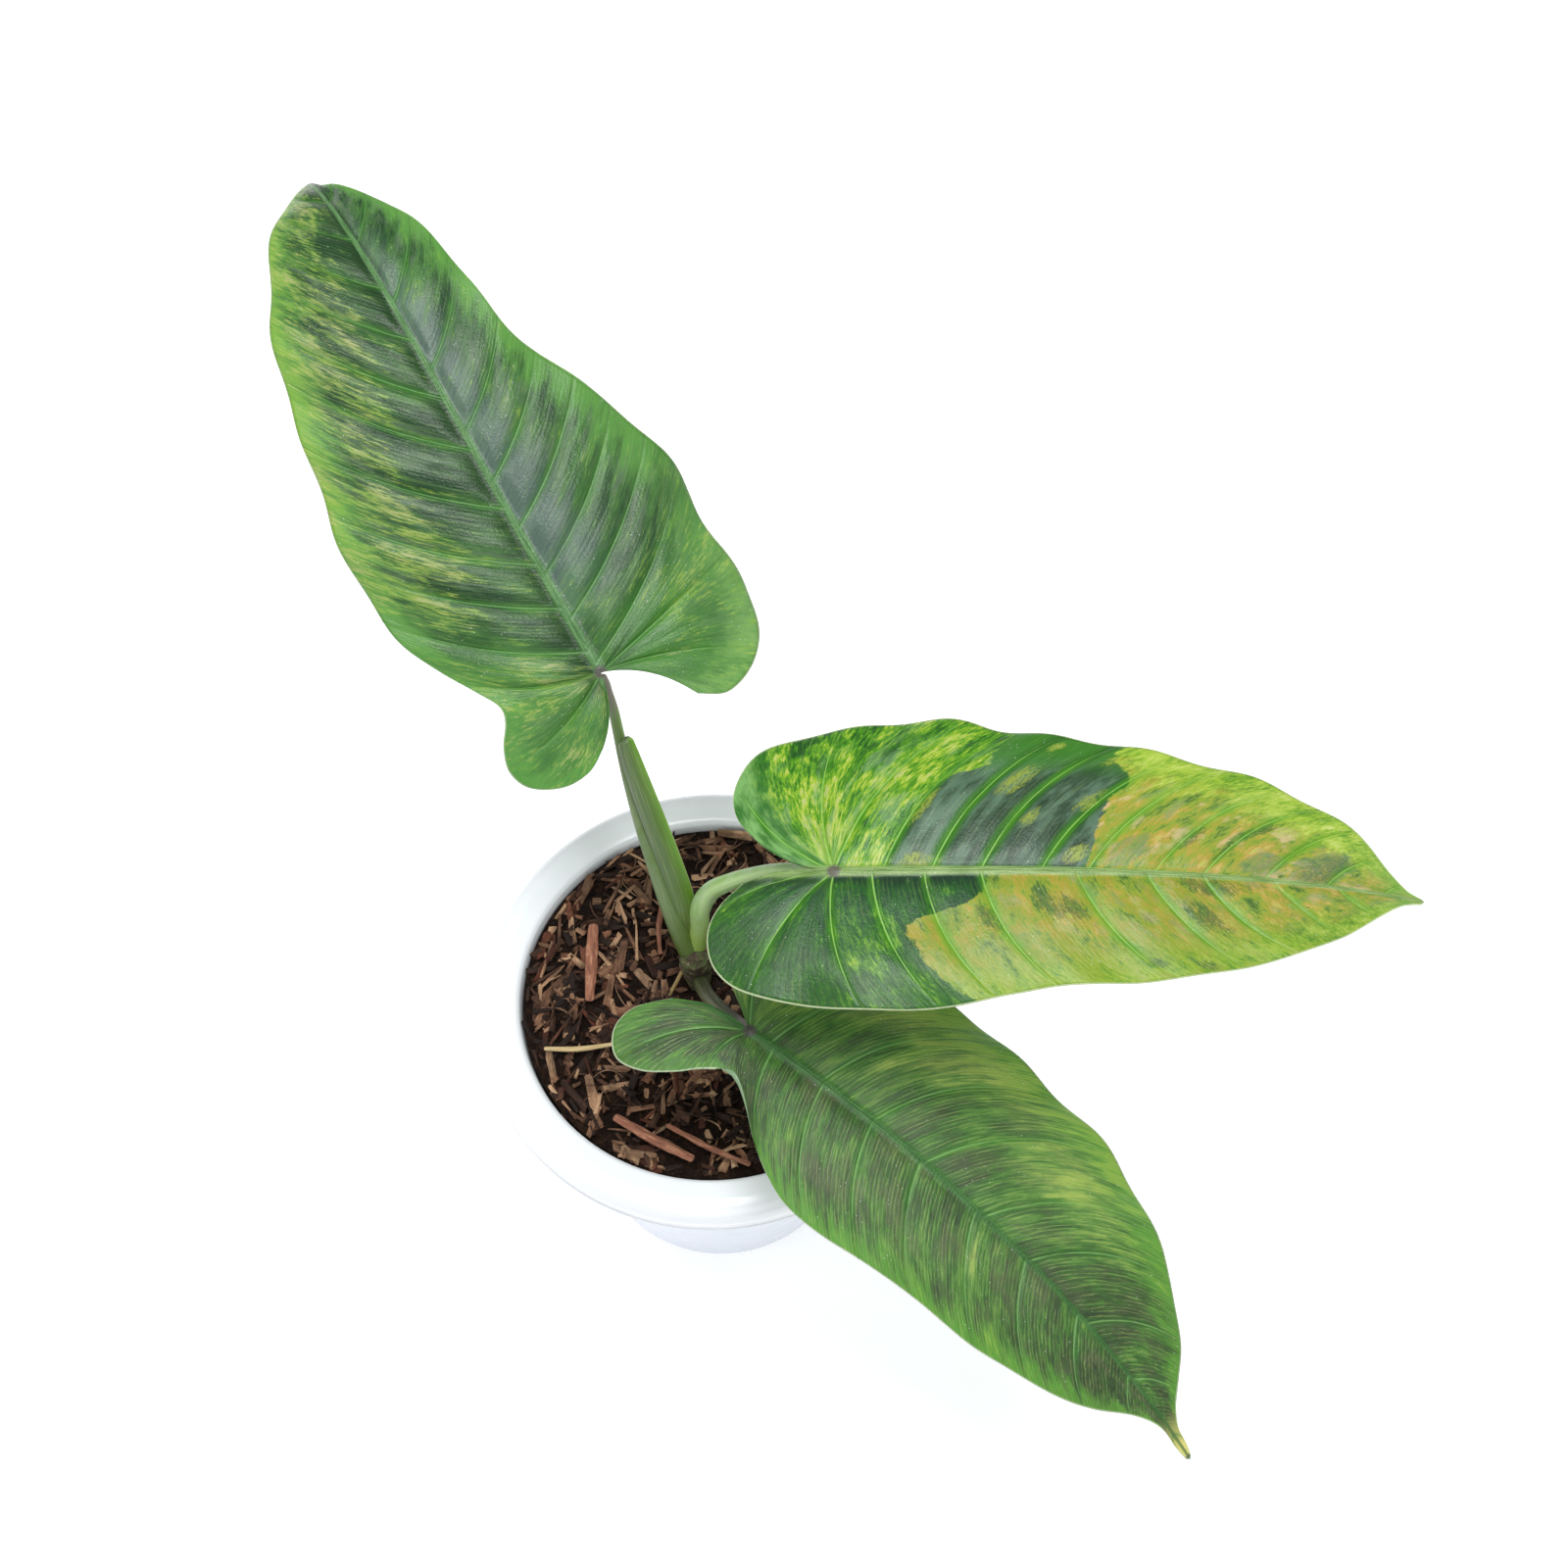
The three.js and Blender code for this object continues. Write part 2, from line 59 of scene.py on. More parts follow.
def colour(red, green, blue):
    # 0 to 255 as seen on screen, to the linear values that a shader takes
    return [((c / 255 + 0.055) / 1.055) ** 2.4 if c > 10 else c / 3294.6 for c in (red, green, blue)] + [1.0]


def finishMesh(bm, name, materials, smoothFaces=True):
    bmesh.ops.recalc_face_normals(bm, faces=bm.faces)
    for face in bm.faces:
        face.smooth = smoothFaces
    mesh = bpy.data.meshes.new(name)
    bm.to_mesh(mesh)
    bm.free()
    for material in materials:
        mesh.materials.append(material)
    piece = bpy.data.objects.new(name, mesh)
    bpy.context.scene.collection.objects.link(piece)
    return piece


def addPiece(piece, slot, *nodes):
    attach(piece, "root")
    if nodes:
        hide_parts(*nodes)


def travelled(points):
    # How far it is to each point along a line through them
    lengths = [0.0]
    for a, b in zip(points, points[1:]):
        lengths.append(lengths[-1] + (b - a).length)
    return lengths


def markFaces(layers, marks):
    # Gives the vertices' values, one for each UV layer, to their corners of all faces
    for face in {face for vert in marks for face in vert.link_faces}:
        for loop in face.loops:
            for layer, mark in zip(layers, marks[loop.vert]):
                loop[layer].uv = mark


# Shader maths

def operators(kind):
    # One sum with the socket before the sign, and reflected with the socket after it
    return (lambda self, other: self.maths(kind, self, other),
            lambda self, other: self.maths(kind, other, self))


class Wire:
    # One socket of a node tree that can be added, multiplied and so on. A colour is three numbers from 0 to
    # 255, and tone turns them into what the shader takes
    def __init__(self, tree, tone, socket=None):
        self.tree = tree
        self.tone = tone
        self.socket = socket

    def node(self, kind, settings=None, values=None, out=0):
        made = self.tree.nodes.new(kind)
        for name, value in (settings or {}).items():
            if name == "stops":
                ramp = made.color_ramp
                while len(ramp.elements) < len(value):
                    ramp.elements.new(0.5)
                for element, (position, shade) in zip(ramp.elements, value):
                    element.position = position
                    element.color = shade
            else:
                setattr(made, name, value)
        for name, value in (values or {}).items():
            if isinstance(value, Wire):
                self.tree.links.new(value.socket, made.inputs[name])
            else:
                made.inputs[name].default_value = value
        return Wire(self.tree, self.tone, made.outputs[out])

    def maths(self, kind, first, second=0.0):
        return self.node("ShaderNodeMath", {"operation": kind}, {0: first, 1: second})

    __add__, __radd__ = operators("ADD")
    __sub__, __rsub__ = operators("SUBTRACT")
    __mul__, __rmul__ = operators("MULTIPLY")
    __truediv__, __rtruediv__ = operators("DIVIDE")
    __pow__, __rpow__ = operators("POWER")

    def __abs__(self):
        return self.maths("ABSOLUTE", self)

    def most(self, other):
        return self.maths("MAXIMUM", self, other)

    def part(self):
        # What lies behind the decimal point
        return self.maths("FRACT", self)

    def toNearest(self):
        # Distance from the nearest whole number
        return abs(self - self.maths("ROUND", self))

    def rise(self, low, high):
        # 0 at low, 1 at high, smooth between; low may be the higher one
        return self.node("ShaderNodeMapRange", {"interpolation_type": "SMOOTHSTEP"},
                         {0: self, 1: low, 2: high, 3: 0.0, 4: 1.0})

    def shade(self, *stops):
        stops = [(at, self.tone(*rgb)) for at, *rgb in stops]
        return self.node("ShaderNodeValToRGB", {"stops": stops}, {0: self})

    def profile(self, stops):
        # Straight lines between values up to 10 at given places
        stops = [(at, [value / 10] * 3 + [1]) for at, value in stops]
        return self.node("ShaderNodeValToRGB", {"stops": stops}, {0: self}) * 10

    def mix(self, first, second):
        # self is how much of the second colour shows
        first, second = (self.tone(*c) if isinstance(c, tuple) else c for c in (first, second))
        return self.node("ShaderNodeMix", {"data_type": "RGBA"}, {0: self, 6: first, 7: second}, 2)

    def parts(self):
        split = self.node("ShaderNodeSeparateXYZ", None, {0: self})
        return [Wire(self.tree, self.tone, socket) for socket in split.socket.node.outputs]

    def vector(self, x, y, z=0.0):
        return self.node("ShaderNodeCombineXYZ", None, {0: x, 1: y, 2: z})

    def uv(self, name):
        return self.node("ShaderNodeUVMap", {"uv_map": name}).parts()[:2]

    def here(self):
        return self.node("ShaderNodeTexCoord", out=3)

    def noise(self, scale, detail=3.0, roughness=0.5):
        return self.node("ShaderNodeTexNoise", None, {
            "Vector": self, "Scale": scale, "Detail": detail, "Roughness": roughness})

    def cells(self, scale):
        return self.node("ShaderNodeTexVoronoi", None, {"Vector": self, "Scale": scale})


def paint(base, *coats):
    # Lays coats over a colour; each is how much of it shows and its own colour
    for show, tone in coats:
        base = show.mix(base, tone)
    return base


def material(name, recipe, tone=colour, **fixed):
    made = bpy.data.materials.new(name)
    made.use_nodes = True
    tree = made.node_tree
    shader = tree.nodes["Principled BSDF"]
    for socket, value in fixed.items():
        shader.inputs[socket.replace("_", " ")].default_value = value
    start = Wire(tree, tone)
    for socket, value in recipe(start).items():
        if socket == "Bump":
            height, strength, distance = value
            value = start.node("ShaderNodeBump", None,
                               {"Height": height, "Strength": strength, "Distance": distance})
            socket = "Normal"
        if isinstance(value, Wire):
            tree.links.new(value.socket, shader.inputs[socket])
        else:
            shader.inputs[socket].default_value = value
    return made


# Curves through points

def cubic(start, end, leave, arrive, t):
    return ((start - end) * 2 + leave + arrive) * t ** 3 + ((end - start) * 3 - leave * 2 - arrive) * t * t \
        + leave * t + start


def between(values, i, t):
    # Curves evenly through the values on both sides of step i
    before, here, there, after = (values[int(clamp(i + k, 0, len(values) - 1))] for k in (-1, 0, 1, 2))
    return cubic(here, there, (there - before) * 0.5, (after - here) * 0.5, t)


def outlinePoints(outline, perSpan=24):
    points = [Vector(p) for p in outline]
    dense = [between(points, i, step / perSpan) for i in range(len(points) - 1) for step in range(perSpan)]
    return dense + [points[-1]]


def onRoute(points, t):
    # Place on a route in space, where close points bend it less
    last = len(points) - 1
    i = min(int(t * last), last - 1)
    here, there = points[i], points[i + 1]
    before = points[i - 1] if i > 0 else here * 2 - there
    after = points[i + 2] if i + 2 <= last else there * 2 - here
    s0, s1, s2 = (math.sqrt((b - a).length) for a, b in ((before, here), (here, there), (there, after)))
    leave = ((here - before) / s0 - (there - before) / (s0 + s1) + (there - here) / s1) * s1
    arrive = ((there - here) / s1 - (after - here) / (s1 + s2) + (after - there) / s2) * s1
    return cubic(here, there, leave, arrive, t * last - i)


def onScale(values, t):
    last = len(values) - 1
    i = min(int(t * last), last - 1)
    return between(values, i, t * last - i)


# Camera, floor and light

view = {
    "target": (0.0226, 0.0764, 0.125),
    "distance": 0.732,
    "elevation": 60,
    "lens": 50,
    "sensor": 36,
    "floorRadius": 4,
    "floorShade": 0.93,
    "floorGlow": 0.35,
    "sky": 0.45,
    "skyTone": (0.95, 0.97, 1, 1),
}
# Each light's place, what it faces (None is straight down), width and depth, power, and turn in degrees
lights = {
    "topLight": ((0.02, 0.27, 1.45), (0.0, 0.1, 0.2), (0.36, 0.36), 4, 0),
    "panelLight": ((-0.2, 0.1, 1.4), None, (1.9, 0.3), 13, -32),
    "leftLight": ((-1.1, -0.5, 1.0), view["target"], (0.9, 0.9), 3.6, 0),
    "rightLight": ((1.2, 0.5, 1.0), view["target"], (0.9, 0.9), 2.5, 0),
    "frontLight": ((0.1, -1.2, 0.9), view["target"], (0.8, 0.8), 3, 0),
}


def addLight(name, position, target, size, power, turn):
    light = bpy.data.lights.new(name, "AREA")
    light.shape = "RECTANGLE"
    light.size, light.size_y = size
    light.energy = power
    lamp = bpy.data.objects.new(name, light)
    lamp.location = position
    lamp.rotation_euler = (0, 0, math.radians(turn))
    if target:
        lamp.rotation_euler = (Vector(target) - Vector(position)).to_track_quat("-Z", "Y").to_euler()
    bpy.context.scene.collection.objects.link(lamp)


def makeStudio():
    tilt = math.radians(view["elevation"])
    camera = bpy.data.objects.new("camera", bpy.data.cameras.new("camera"))
    camera.data.lens = view["lens"]
    camera.data.sensor_width = view["sensor"]
    camera.location = Vector(view["target"]) + Vector((0, -math.cos(tilt), math.sin(tilt))) * view["distance"]
    camera.rotation_euler = (math.pi / 2 - tilt, 0, 0)
    bpy.context.scene.collection.objects.link(camera)
    bpy.context.scene.camera = camera
    bpy.context.scene.view_settings.view_transform = "Standard"

    bm = bmesh.new()
    bmesh.ops.create_circle(bm, cap_ends=True, segments=96, radius=view["floorRadius"])
    floor = finishMesh(bm, "floor", [material("floorPaint", lambda w: {
        "Base Color": w.here().noise(3).mix(
            [view["floorShade"]] * 3 + [1], [view["floorShade"] + 0.02] * 3 + [1]),
    }, Roughness=0.9, Emission_Color=(1, 1, 1, 1), Emission_Strength=view["floorGlow"])])

    world = bpy.data.worlds.new("studio")
    world.use_nodes = True
    world.node_tree.nodes["Background"].inputs[0].default_value = view["skyTone"]
    world.node_tree.nodes["Background"].inputs[1].default_value = view["sky"]
    bpy.context.scene.world = world
    for name, values in lights.items():
        addLight(name, *values)


makeStudio()
print("studio ready")


# Leaf blades

blade = {
    "thickness": 0.8,
    "edgeThickness": 0.5,
    "ribWidth": 2.6,
    "ribDepth": 2.2,
    "ribRise": 0.55,
    "fanVeins": 2.6,
    "fanColumns": 56,
    "lateralColumns": 220,
    "columnPower": 1.3,
    "rows": 42,
    "rowPower": 1.2,
    "trackRow": 0.6,
    "weld": 0.000004,
    "junctionTone": (92, 82, 84),
    "dustTone": (225, 230, 215),
}
leafUpper = {
    "base": (-31.9, 62.8, 215), "heading": 124.5, "turn": -7.2, "pitch": 26, "droop": -66, "droopPower": 3,
    "length": 206, "roll": -8, "fold": 8, "curl": 0.7, "lobeDroop": 0.0025, "sinusBow": (0.1, -0.1),
    "wave": 1.1, "wavePeriod": 34, "pillow": 1.5, "billow": 1.2,
    "bow": 0.06, "slant": {"left": (0.7, 1.4), "right": (0.7, 1.3)},
    "veins": {
        "left": (22, 37, 56, 76, 94, 115, 135, 157, 180), "right": (18, 33, 49, 65, 82, 104, 129, 155, 180)},
    "left": [
        (-20, 11), (-24, 18), (-24, 27), (-19, 36), (-12, 39), (-5, 36.5), (1, 32), (6, 31), (13, 35),
        (24, 42), (38, 48), (54, 50.5), (70, 50), (88, 47), (106, 44), (124, 41), (142, 36), (160, 28.5),
        (178, 20.5), (191, 11.5), (200, 3.6), (206, 0.9)],
    "right": [
        (-20, 22), (-24, 31), (-20, 42.5), (-10, 52), (3, 55.5), (20, 53.5), (36, 54.5), (50, 52.5),
        (66, 46.5), (80, 39.5), (95, 31.5), (108, 26.5), (126, 24), (147, 20.5), (165, 15), (182, 7),
        (195, 2.6), (206, 0.9)],
}
leafRight = {
    "base": (36.9, 1.3, 205), "heading": -4.5, "turn": 6, "pitch": 9.3, "droop": -33.3, "droopPower": 1.6,
    "length": 174, "roll": 0, "fold": 8, "curl": 0.5, "lobeDroop": 0.0033, "sinusBow": (0.09, 0.06),
    "wave": 0.9, "wavePeriod": 30, "pillow": 1.0, "billow": 1.0,
    "bow": 0.09, "slant": {"left": (0.65, 1.3), "right": (0.45, 1.1)},
    "veins": {"left": (14, 28, 42, 59, 72, 91, 105, 123, 142), "right": (11, 26, 42, 69, 89, 105, 126, 146)},
    "left": [
        (-24, 11), (-30, 18), (-32.5, 27), (-30.5, 36), (-25, 43), (-13, 48.5), (2, 51), (20, 54), (36, 53),
        (48, 50), (65, 46.5), (80, 44), (95, 41), (112, 37), (130, 31.5), (147, 23), (157, 15), (164.5, 7),
        (169.5, 2.4), (174, 0.8)],
    "right": [
        (-27, 3), (-33, 9), (-36, 17), (-35, 25.5), (-31, 32), (-24, 37), (-13, 40.5), (2, 42.5), (20, 43),
        (37, 41.5), (50, 38.5), (62, 36), (75, 35), (90, 33.5), (108, 30), (128, 24), (144, 16.5), (157, 8.5),
        (167, 2.8), (174, 0.8)],
}
leafLower = {
    "base": (12.5, -31, 165), "heading": -34.9, "turn": -11.7, "pitch": -2.8, "droop": -37.2,
    "droopPower": 1.3, "length": 183, "roll": 0, "fold": 8, "curl": 0.6, "lobeDroop": 0.0033,
    "sinusBow": (0, 0.1), "wave": 1, "wavePeriod": 32, "pillow": 0.6, "billow": 1.2, "bow": 0.1,
    "slant": {"left": (0.65, 1.0), "right": (0.5, 1.0)},
    "veins": {"left": (26, 45, 64, 87, 105, 130, 152), "right": (27, 45, 63, 84, 104, 126, 150)},
    "rolled": {"half": "right", "vein": -0.42, "reach": 0.5, "radius": 2.6, "turn": 2.7},
    "left": [
        (-19, 13), (-25, 20), (-26, 29), (-21, 35.5), (-13, 37), (-5, 34), (1, 30), (7, 29), (13, 31.5),
        (21, 37), (31, 43), (44, 47), (62, 46.5), (80, 45), (98, 44.5), (112, 41.5), (124, 37.5), (135, 31.5),
        (145, 26), (155, 18.5), (162, 10.5), (167, 5.5), (173, 2.6), (179, 1.8), (183, 0.9)],
    "right": [
        (-25, 5), (-33, 13), (-34, 22), (-28, 29), (-19, 28.5), (-11, 23.5), (-5, 18), (1, 14.5), (6, 15.5),
        (14, 21), (22, 27.5), (33, 33.5), (42, 36), (54, 36), (68, 34), (88, 31.5), (107, 30), (121, 26.5),
        (137, 21.5), (149, 15), (160, 6.5), (168, 2.6), (177, 1.8), (183, 0.9)],
}


def midribDirection(leaf, along):
    t = clamp(along / leaf["length"], 0, 1.1)
    heading = math.radians(leaf["heading"] + leaf["turn"] * t)
    pitch = math.radians(leaf["pitch"] + leaf["droop"] * t ** leaf["droopPower"])
    return Vector((math.cos(heading) * math.cos(pitch), math.sin(heading) * math.cos(pitch), math.sin(pitch)))


def midribPoints(leaf):
    points = [Vector(leaf["base"])]
    for along in range(leaf["length"] + 2):
        points.append(points[-1] + midribDirection(leaf, along + 0.5))
    return points


def onLeaf(leaf, midrib, along, across):
    # Place of a point of the flat leaf, and the way the blade faces there
    forward = midribDirection(leaf, max(along, 0))
    aside = Vector((-forward.y, forward.x, 0)).normalized()
    up = forward.cross(aside)
    roll = Matrix.Rotation(math.radians(leaf["roll"]), 3, forward)
    aside, up = roll @ aside, roll @ up
    if along >= 0:
        step = min(int(along), len(midrib) - 2)
        point = midrib[step].lerp(midrib[step + 1], along - step)
    else:
        point = midrib[0] + forward * along - up * (leaf["lobeDroop"] * along * along)
    side = (across > 0) - (across < 0)
    fold, curl = math.radians(leaf["fold"]), math.radians(leaf["curl"])
    slope = fold - curl * abs(across)
    point = point + aside * (side * (math.sin(fold) - math.sin(slope)) / curl) \
        + up * ((math.cos(slope) - math.cos(fold)) / curl)
    normal = up * math.cos(slope) - aside * (side * math.sin(slope)) if side else up
    return point, normal


def rootOf(edge, leaf, half):
    # Where the column that ends at this place of the margin leaves the midrib; nearer the tip they lean more
    least, more = leaf["slant"][half]
    return edge.x - (least + more * max(0, edge.x / leaf["length"]) ** 2) * edge.y


def veinNumber(roots, root):
    # Whole numbers where a lateral vein leaves the midrib, and evenly on between and beyond them
    i = max(0, min(sum(r <= root for r in roots), len(roots) - 1) - 1)
    return i + 1 + (root - roots[i]) / (roots[i + 1] - roots[i])


def marginColumns(leaf, half):
    # A fan of columns round the back lobe, then one for each place along the midrib
    edges = outlinePoints(leaf[half])
    veins = leaf["veins"][half]
    firstNumber = veinNumber(veins, 0)
    sinusBow = leaf["sinusBow"][0 if half == "left" else 1]
    lengths = travelled(edges)
    roots = [rootOf(edge, leaf, half) for edge in edges]
    lastInFan = max(i for i, root in enumerate(roots) if root <= 0)
    fanLength = lengths[lastInFan]
    columns = []
    for i in range(blade["fanColumns"]):
        t = i / blade["fanColumns"]
        step = next(s for s in range(len(edges)) if lengths[s + 1] >= fanLength * t)
        share = (fanLength * t - lengths[step]) / (lengths[step + 1] - lengths[step])
        edge = edges[step].lerp(edges[step + 1], share)
        columns.append((0.0, edge, lerp(sinusBow, leaf["bow"], t), firstNumber - blade["fanVeins"] * (1 - t)))
    for i in range(blade["lateralColumns"] + 1):
        root = roots[-1] * (1 - (1 - i / blade["lateralColumns"]) ** blade["columnPower"])
        step = max(s for s in range(len(edges) - 1) if roots[s] <= root)
        share = clamp((root - roots[step]) / (roots[step + 1] - roots[step]))
        edge = edges[step].lerp(edges[step + 1], share)
        columns.append((root, edge, leaf["bow"], veinNumber(veins, root)))
    columns.append((leaf["length"] + 0.8, Vector((leaf["length"] + 0.8, 0)), 0, columns[-1][3] + 0.05))
    return columns


def onColumn(column, q):
    root, edge, bow, _ = column
    start = Vector((root, 0))
    reach = edge - start
    middle = start + reach * 0.5 + Vector((-reach.y, reach.x)) * bow * 2
    return start * (1 - q) ** 2 + middle * 2 * q * (1 - q) + edge * q * q


def relief(leaf, column, flat, q, side, perVein):
    # How far the upper face stands above the plain blade, and how much of that is midrib
    fade = smooth(leaf["length"] - column[1].x, 0, 15)
    wave = leaf["wave"] * q ** 3 * fade * math.sin(column[1].x / leaf["wavePeriod"] * 2 * math.pi + side)
    swell = abs(math.sin(math.pi * column[3])) ** 0.7 - 0.55 + 0.16 * abs(math.sin(2 * math.pi * column[3]))
    swell *= leaf["pillow"] * min(1, perVein / 11) * fade * smooth(q, 0.02, 0.14) \
        * (1 - smooth(q, 0.45, 0.97))
    billow = leaf["billow"] * noise.noise(Vector((flat.x / 26, flat.y / 20, side * 3.3))) \
        * smooth(q, 0.05, 0.4)
    taper = 1 - 0.7 * clamp(flat.x / leaf["length"])
    fromRib = flat.y / (blade["ribWidth"] * 0.5 * taper)
    ridge = blade["ribRise"] * taper * math.exp(-fromRib ** 2 * 1.4)
    gutter = blade["ribRise"] * 0.5 * taper * math.exp(-(fromRib - 2) ** 2)
    return wave + swell + billow * fade + ridge - gutter, ridge, fromRib


def rollMargin(leaf, midrib, half, side, column, q):
    # Where the margin rolls up and over: flat place, rise, way the face looks, and gap to the edge
    flat = onColumn(column, q)
    gap = (column[1] - flat).length
    roll = leaf.get("rolled")
    if not roll or roll["half"] != half or abs(column[3] - roll["vein"]) > roll["reach"] * 0.97:
        return flat, 0, None, gap
    radius = roll["radius"] * (1 - smooth(abs(column[3] - roll["vein"]), 0, roll["reach"]))
    start = 1 - radius / (column[1] - Vector((column[0], 0))).length
    if q <= start:
        return flat, 0, None, gap - radius + radius * roll["turn"]
    angle = (q - start) / (1 - start) * roll["turn"]
    foot = onColumn(column, start)
    outward = (column[1] - foot).normalized()
    inner, _ = onLeaf(leaf, midrib, foot.x, foot.y * side)
    outer, up = onLeaf(leaf, midrib, column[1].x, column[1].y * side)
    face = up * math.cos(angle) - (outer - inner).normalized() * math.sin(angle)
    return foot + outward * radius * math.sin(angle), radius * (1 - math.cos(angle)), face, \
        (roll["turn"] - angle) * radius


def makeLeaf(name, leaf, skin, underside):
    midrib = midribPoints(leaf)
    bm = bmesh.new()
    layers = [bm.loops.layers.uv.new(key) for key in ("flat", "vein", "span", "grain")]
    down = bm.verts.layers.float_vector.new("down")
    rows = blade["rows"]
    for half, side in (("left", 1), ("right", -1)):
        columns = marginColumns(leaf, half)
        count = len(columns) - 1
        track = travelled([onColumn(column, blade["trackRow"]) for column in columns])
        grid = bmesh.ops.create_grid(bm, x_segments=count, y_segments=rows, size=1)
        marks = {}
        for vert in grid["verts"]:
            i = round((vert.co.x + 1) / 2 * count)
            q = (round((vert.co.y + 1) / 2 * rows) / rows) ** blade["rowPower"]
            column = columns[i]
            flat, rolledUp, face, edgeGap = rollMargin(leaf, midrib, half, side, column, q)
            near, far = columns[max(i - 1, 0)], columns[min(i + 1, count)]
            perVein = (onColumn(far, q) - onColumn(near, q)).length / max(far[3] - near[3], 1e-4)
            lift, ridge, fromRib = relief(leaf, column, flat, q, side, perVein)
            point, normal = onLeaf(leaf, midrib, flat.x, flat.y * side)
            depth = lerp(blade["edgeThickness"], blade["thickness"], smooth(edgeGap, 0, 2))
            ribDepth = lerp(blade["ribDepth"], blade["thickness"], clamp(flat.x / leaf["length"]))
            depth += (ribDepth - blade["thickness"] + ridge) * math.sqrt(max(0, 1 - fromRib ** 2))
            marks[vert] = ((flat.x / 100, flat.y * side / 100), (column[3] / 10, q),
                           (perVein / 20, edgeGap / 20), (track[i] / 100, side))
            vert.co = (point + normal * (lift + rolledUp)) * mm
            vert[down] = (face or normal) * depth * mm
        markFaces(layers, marks)
    bmesh.ops.remove_doubles(bm, verts=bm.verts, dist=blade["weld"])
    shell = bmesh.ops.extrude_face_region(bm, geom=bm.faces[:], use_keep_orig=True)["geom"]
    for part in shell:
        if isinstance(part, bmesh.types.BMVert):
            part.co -= part[down]
        if isinstance(part, bmesh.types.BMFace):
            part.material_index = 1
    bm.verts.layers.float_vector.remove(down)
    return finishMesh(bm, name, [skin, underside])


# Leaf colours

def leafTone(red, green, blue):
    # Colour of the blade itself, below the pale sheen that it is seen through
    return [max(0.003, c * 0.92 - 0.01) for c in colour(red, green, blue)[:3]] + [1.0]


def sway(*noises):
    # Noises centred on 0, each with its strength, added up
    return sum((noise - 0.5) * strength for noise, strength in noises)


class Chart:
    # Fields that a leaf's colours are made from, in millimetres and numbers of veins
    def __init__(self, w):
        self.w = w
        u, v = w.uv("flat")
        k, self.q = w.uv("vein")
        perVein, edgeGap = w.uv("span")
        track, self.side = w.uv("grain")
        self.u, self.v = u * 100, v * 100
        self.k, self.perVein, self.edgeGap, self.track = k * 10, perVein * 20, edgeGap * 20, track * 100
        self.fromVein = self.k.toNearest() * self.perVein
        self.left = self.side.rise(-0.5, 0.5)
        self.right = 1 - self.left

    def streak(self, across, along, seed=0.0, detail=4.0, roughness=0.6):
        # Noise drawn out along the veins, 0 to 1; sizes in mm
        spot = self.w.vector(self.track / across, self.q * (50 / along), self.side * 7.7 + seed)
        return spot.noise(1, detail, roughness)

    def line(self, distance, halfWidth, soft=1.6):
        return distance.rise(halfWidth * soft, halfWidth * 0.5)

    def past(self, low, high, noise, ragged):
        # How far out towards the margin, from 0 at low to 1 at high, with a ragged front
        return (self.q + sway((noise, ragged))).rise(low, high)

    def spots(self, ragged, marks):
        # 1 in ragged patches, each given as k, q and its size in both
        found = 0.0
        for k, q, kSize, qSize in marks:
            away = ((self.k - k) / kSize) ** 2 + ((self.q - q) / qSize) ** 2
            found = (away + ragged).rise(1.1, 0.75).most(found)
        return found


def drawVeins(c, base, look):
    # Veins, midrib, margin, junction and dust over the blotched blade
    w = c.w
    fine = c.streak(1.2, 9, 31)
    minor = (c.track / look["minorSpacing"] + fine * 1.1 + c.streak(5, 25, 33) * 1.5).toNearest()
    minorLine = minor.rise(0.17, 0.03) * c.streak(2, 9, 5).rise(0.36, 0.6) * c.q.rise(0.02, 0.1)
    halo = c.fromVein.rise(2.6, 0.2) * c.q.rise(1.0, 0.6) * c.streak(2.5, 9, 21).rise(0.3, 0.6)
    lateral = c.line(c.fromVein, look["veinHalf"] * (1 - c.q * 0.6)) * c.q.rise(0.99, 0.7)
    lateral *= c.streak(2, 16, 23).rise(0.2, 0.55)
    rib = c.line(abs(c.v), look["ribHalf"] * (1 - c.u * (0.72 / look["length"])), 1.25)
    ribGrain = w.vector(c.u * 0.12, c.v * 2.5, 3).noise(1, 3)
    junction = (c.u * c.u + c.v * c.v + ribGrain * 3).rise(8.5, 2.5)
    dust = w.vector(c.u * 0.55, c.v * 0.55, 1).cells(1).rise(0.09, 0.05) \
        * c.streak(20, 20, 77).rise(0.5, 0.56)
    base = paint(
        base, (minorLine * look["minorShow"], look["minorTone"]), (halo * look["haloShow"], look["haloTone"]),
        (lateral * look["veinShow"], look["veinTone"]),
        (rib * look["ribShow"], ribGrain.rise(0.3, 0.7).mix(look["ribDark"], look["ribTone"])),
        (junction * 0.85, blade["junctionTone"]),
        (c.edgeGap.rise(0.62, 0.3) * look["marginShow"], look["marginTone"]), (dust * 0.8, blade["dustTone"]))
    height = minor.rise(0.0, 0.5) * look["minorShow"] * 0.5 + c.fromVein.rise(0.0, 0.9) * 0.8 + fine * 0.5 \
        + w.vector(c.u, c.v, 9).noise(1.3, 3) * 0.5
    return {"Base Color": base, "Bump": (height, look["bump"], 0.0006),
            "Roughness": c.streak(2, 14, 12).rise(0.2, 0.9) * 0.16 + look["roughness"]}


